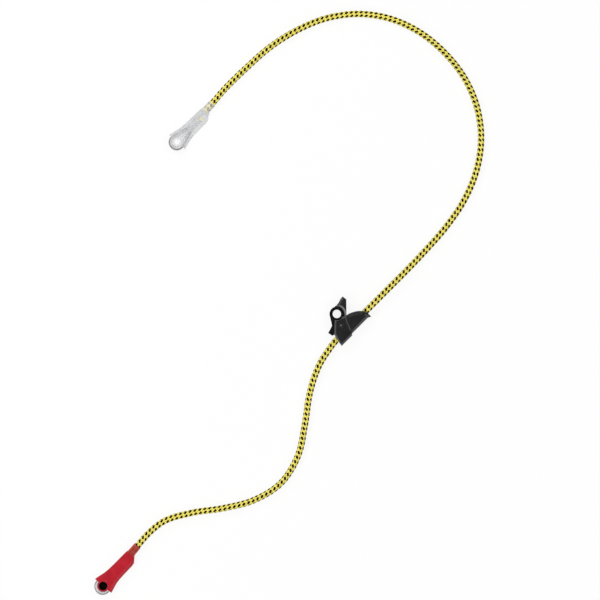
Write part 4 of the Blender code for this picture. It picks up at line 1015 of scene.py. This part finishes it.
lever = {
    "eye": (0.0099, 0.0210),     # from the pivot
    "ring": 0.01385,             # radius of the lever's round side
    "halfHeight": 0.0062,
    "corner": (12.3, 0.0192),    # direction in degrees, and how far out from the ring
    "edge": [(27.0, 0.0210), (31.4, 0.0141), (37.6, 0.0064), (49.5, 0.0021), (60.0, 0.0012)],
    "edgeSteps": 8,
    "heel": [(-66.4, 0.0040), (-64.6, 0.0054)],
    "arc": (59, -62),            # of the round side, in degrees
    "arcSteps": 60,
    "scoopDepth": 0.0020,        # at the ring
    "scoopReach": 0.0040,        # out from the ring to where the scoop ends
    "scoopBelow": 0.0005,        # the cone goes on inside the ring by this much of its depth
    "scoopSides": 120,
    "scoopOut": 0.0186,          # the farthest from the eye that the scoop's faces with a painted highlight lie
    "pocket": [(0.0143, 0.0255), (0.0156, 0.0215), (0.0160, 0.0120), (0.0128, 0.0138),
               (0.0110, 0.0170), (0.0122, 0.0220)],
    "pocketTurn": math.radians(-45),   # from the photo's own axes
    "pocketDepth": 0.0028,
    "tang": (0.0112, 0.0273, 0.0028, 0.0028),   # start, end, half width and half height
    "tangTurn": math.radians(18),
    "bevel": 0.0004,
    "padInward": (0.371, -0.928),
    # inward from the edge and up from the middle, of which a rib moves the first two and the middle two
    "padSection": [(0, 0.0054), (0.0006, 0.0064), (0.0032, 0.0080), (0.0038, 0.0078)],
    "padEnds": (0.03, 0.80),     # the part of the edge that the pad covers
    "padOut": 0.0003,            # beyond the lever's face, where the pad's painted highlight starts
    "ribs": 13,
    "ribStops": 4,               # sections of the pad for each rib
    "ribTops": (1, 2),           # those of them that stand out
    "ribRise": (-0.00035, 0.00030),   # out from the edge, and up
}


def fromEye(points):
    return [(lever["eye"][0] + x, lever["eye"][1] + y) for x, y in points]


def awayFromRing(places):
    made = []
    for turn, distance in places:
        reach = lever["ring"] + distance
        made.append((reach * math.cos(math.radians(turn)), reach * math.sin(math.radians(turn))))
    return fromEye(made)


# a flat circle moved to the outline and extruded
def outlineBlock(name, points, low, high):
    bpy.ops.object.select_all(action="DESELECT")
    bpy.ops.mesh.primitive_circle_add(vertices=len(points), fill_type="NGON")
    piece = named(bpy.context.object, name)
    for vertex, (x, y) in zip(piece.data.vertices, points):
        vertex.co = (x, y, low)
    editAll(piece)
    bpy.ops.mesh.extrude_region_move(TRANSFORM_OT_translate={"value": (0, 0, high - low)})
    leaveEdit()
    faceOutwards(piece)
    return piece


def leverOutline(edge):
    start, end = map(math.radians, lever["arc"])
    arc = fromEye(aroundEye(lever["ring"], start, end, lever["arcSteps"]))
    return arc + awayFromRing(lever["heel"] + [lever["corner"]]) + [tuple(point[:2]) for point in edge]


# what is cut from the lever: a pocket and a shallow cone beside the ring on each face, and the tang's slot
def pocketBlock(side):
    turned = Matrix.Rotation(lever["pocketTurn"], 2)
    half = lever["halfHeight"]
    depths = sorted((side * (half - lever["pocketDepth"]), side * 2 * half))
    return outlineBlock("pocket", fromEye([turned @ Vector(point) for point in lever["pocket"]]), *depths)


def scoopCone(side):
    depth, reach, below = lever["scoopDepth"], lever["scoopReach"], lever["scoopBelow"]
    narrow, wide = lever["ring"] - below * reach / depth, lever["ring"] + 2 * reach
    first, last = (narrow, wide) if side > 0 else (wide, narrow)
    height = side * (lever["halfHeight"] - below / 2)
    bpy.ops.object.select_all(action="DESELECT")
    bpy.ops.mesh.primitive_cone_add(
        vertices=lever["scoopSides"], radius1=first, radius2=last,
        depth=2 * depth + below, location=(*lever["eye"], height),
    )
    bpy.ops.object.transform_apply(location=True)
    return bpy.context.object


def tangSlot():
    near, far, wide, high = lever["tang"]
    bar = outlineBlock("tang", [(near, -wide), (far, -wide), (far, wide), (near, wide)], -high, high)
    turn = Matrix.Rotation(lever["tangTurn"], 4, "Z")
    bar.data.transform(Matrix.Translation((*lever["eye"], 0)) @ turn)
    return bar


# a band along the lever's edge, whose section rises and steps back at each rib
def ribbedPad(edge):
    first, last = lever["padEnds"]
    count = lever["ribStops"] * lever["ribs"] + 1
    at = np.linspace(first, last, count) * lengthsAlong(edge)[-1]
    inward = np.array(lever["padInward"])
    back, rise = lever["ribRise"]
    rings = []
    for i, stop in enumerate(pointsAt(edge, at)[:, :2]):
        lift = i % lever["ribStops"] in lever["ribTops"]
        high = []
        for k, (inside, height) in enumerate(lever["padSection"]):
            high.append((inside + back * (lift and k < 2), height + rise * (lift and 0 < k < 3)))
        section = high + [(inside, -height) for inside, height in high[::-1]]
        rings.append([(*(stop + inward * inside), height) for inside, height in section])
    pad = tubesMesh("pad", np.array(rings)[None], at[None])
    faceOutwards(pad)
    return pad


# the moulding is black; its scoop takes a grey painted highlight, and the pad's ribs a softer grey painted
# highlight
def leverFinishesAndHighlights(piece):
    piece.data.materials.clear()
    for finish in ("blackLever", "leverScoopHighlight", "leverPadHighlight"):
        piece.data.materials.append(finishes[finish])
    low, high = edges["slopes"]
    for face in piece.data.polygons:
        out = (face.center.xy - Vector(lever["eye"])).length
        face.material_index = 0
        if abs(face.center.z) > lever["halfHeight"] + lever["padOut"]:
            face.material_index = 2
        elif low < slopeOf(face) < high and out < lever["scoopOut"]:
            face.material_index = 1


def makeLever():
    edge = smoothThrough([(x, y, 0) for x, y in awayFromRing(lever["edge"])], lever["edgeSteps"])
    half = lever["halfHeight"]
    piece = outlineBlock("lever_moulding", leverOutline(edge), -half, half)
    for side in (1, -1):
        combine(piece, pocketBlock(side), "DIFFERENCE")
        combine(piece, scoopCone(side), "DIFFERENCE")
    combine(piece, tangSlot(), "DIFFERENCE")
    combine(piece, ribbedPad(edge), "UNION")
    roundEdges(piece, lever["bevel"])
    bpy.ops.object.shade_smooth_by_angle(angle=edges["smooth"])
    leverFinishesAndHighlights(piece)
    piece.data.transform(pivotAxes)
    return piece


moulding = makeLever()
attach(moulding, "cam")
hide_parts("thumb_lever")
print("lever moulded")


# what rides with the rope, and the rope's strands and lining, all on the lanyard

for piece, node, slot in (
    (laid, "steel_core", "steel_cable"),
    (thimbles["clear"], "clear_thimble", "thimble_steel"),
    (thimbles["red"], "red_thimble", "thimble_steel"),
):
    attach(piece, "lanyard")
    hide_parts(node)
for piece in (blackStrands, yellowStrands, crossStrands, lining):
    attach(piece, "lanyard")
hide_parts("rope_sheath")
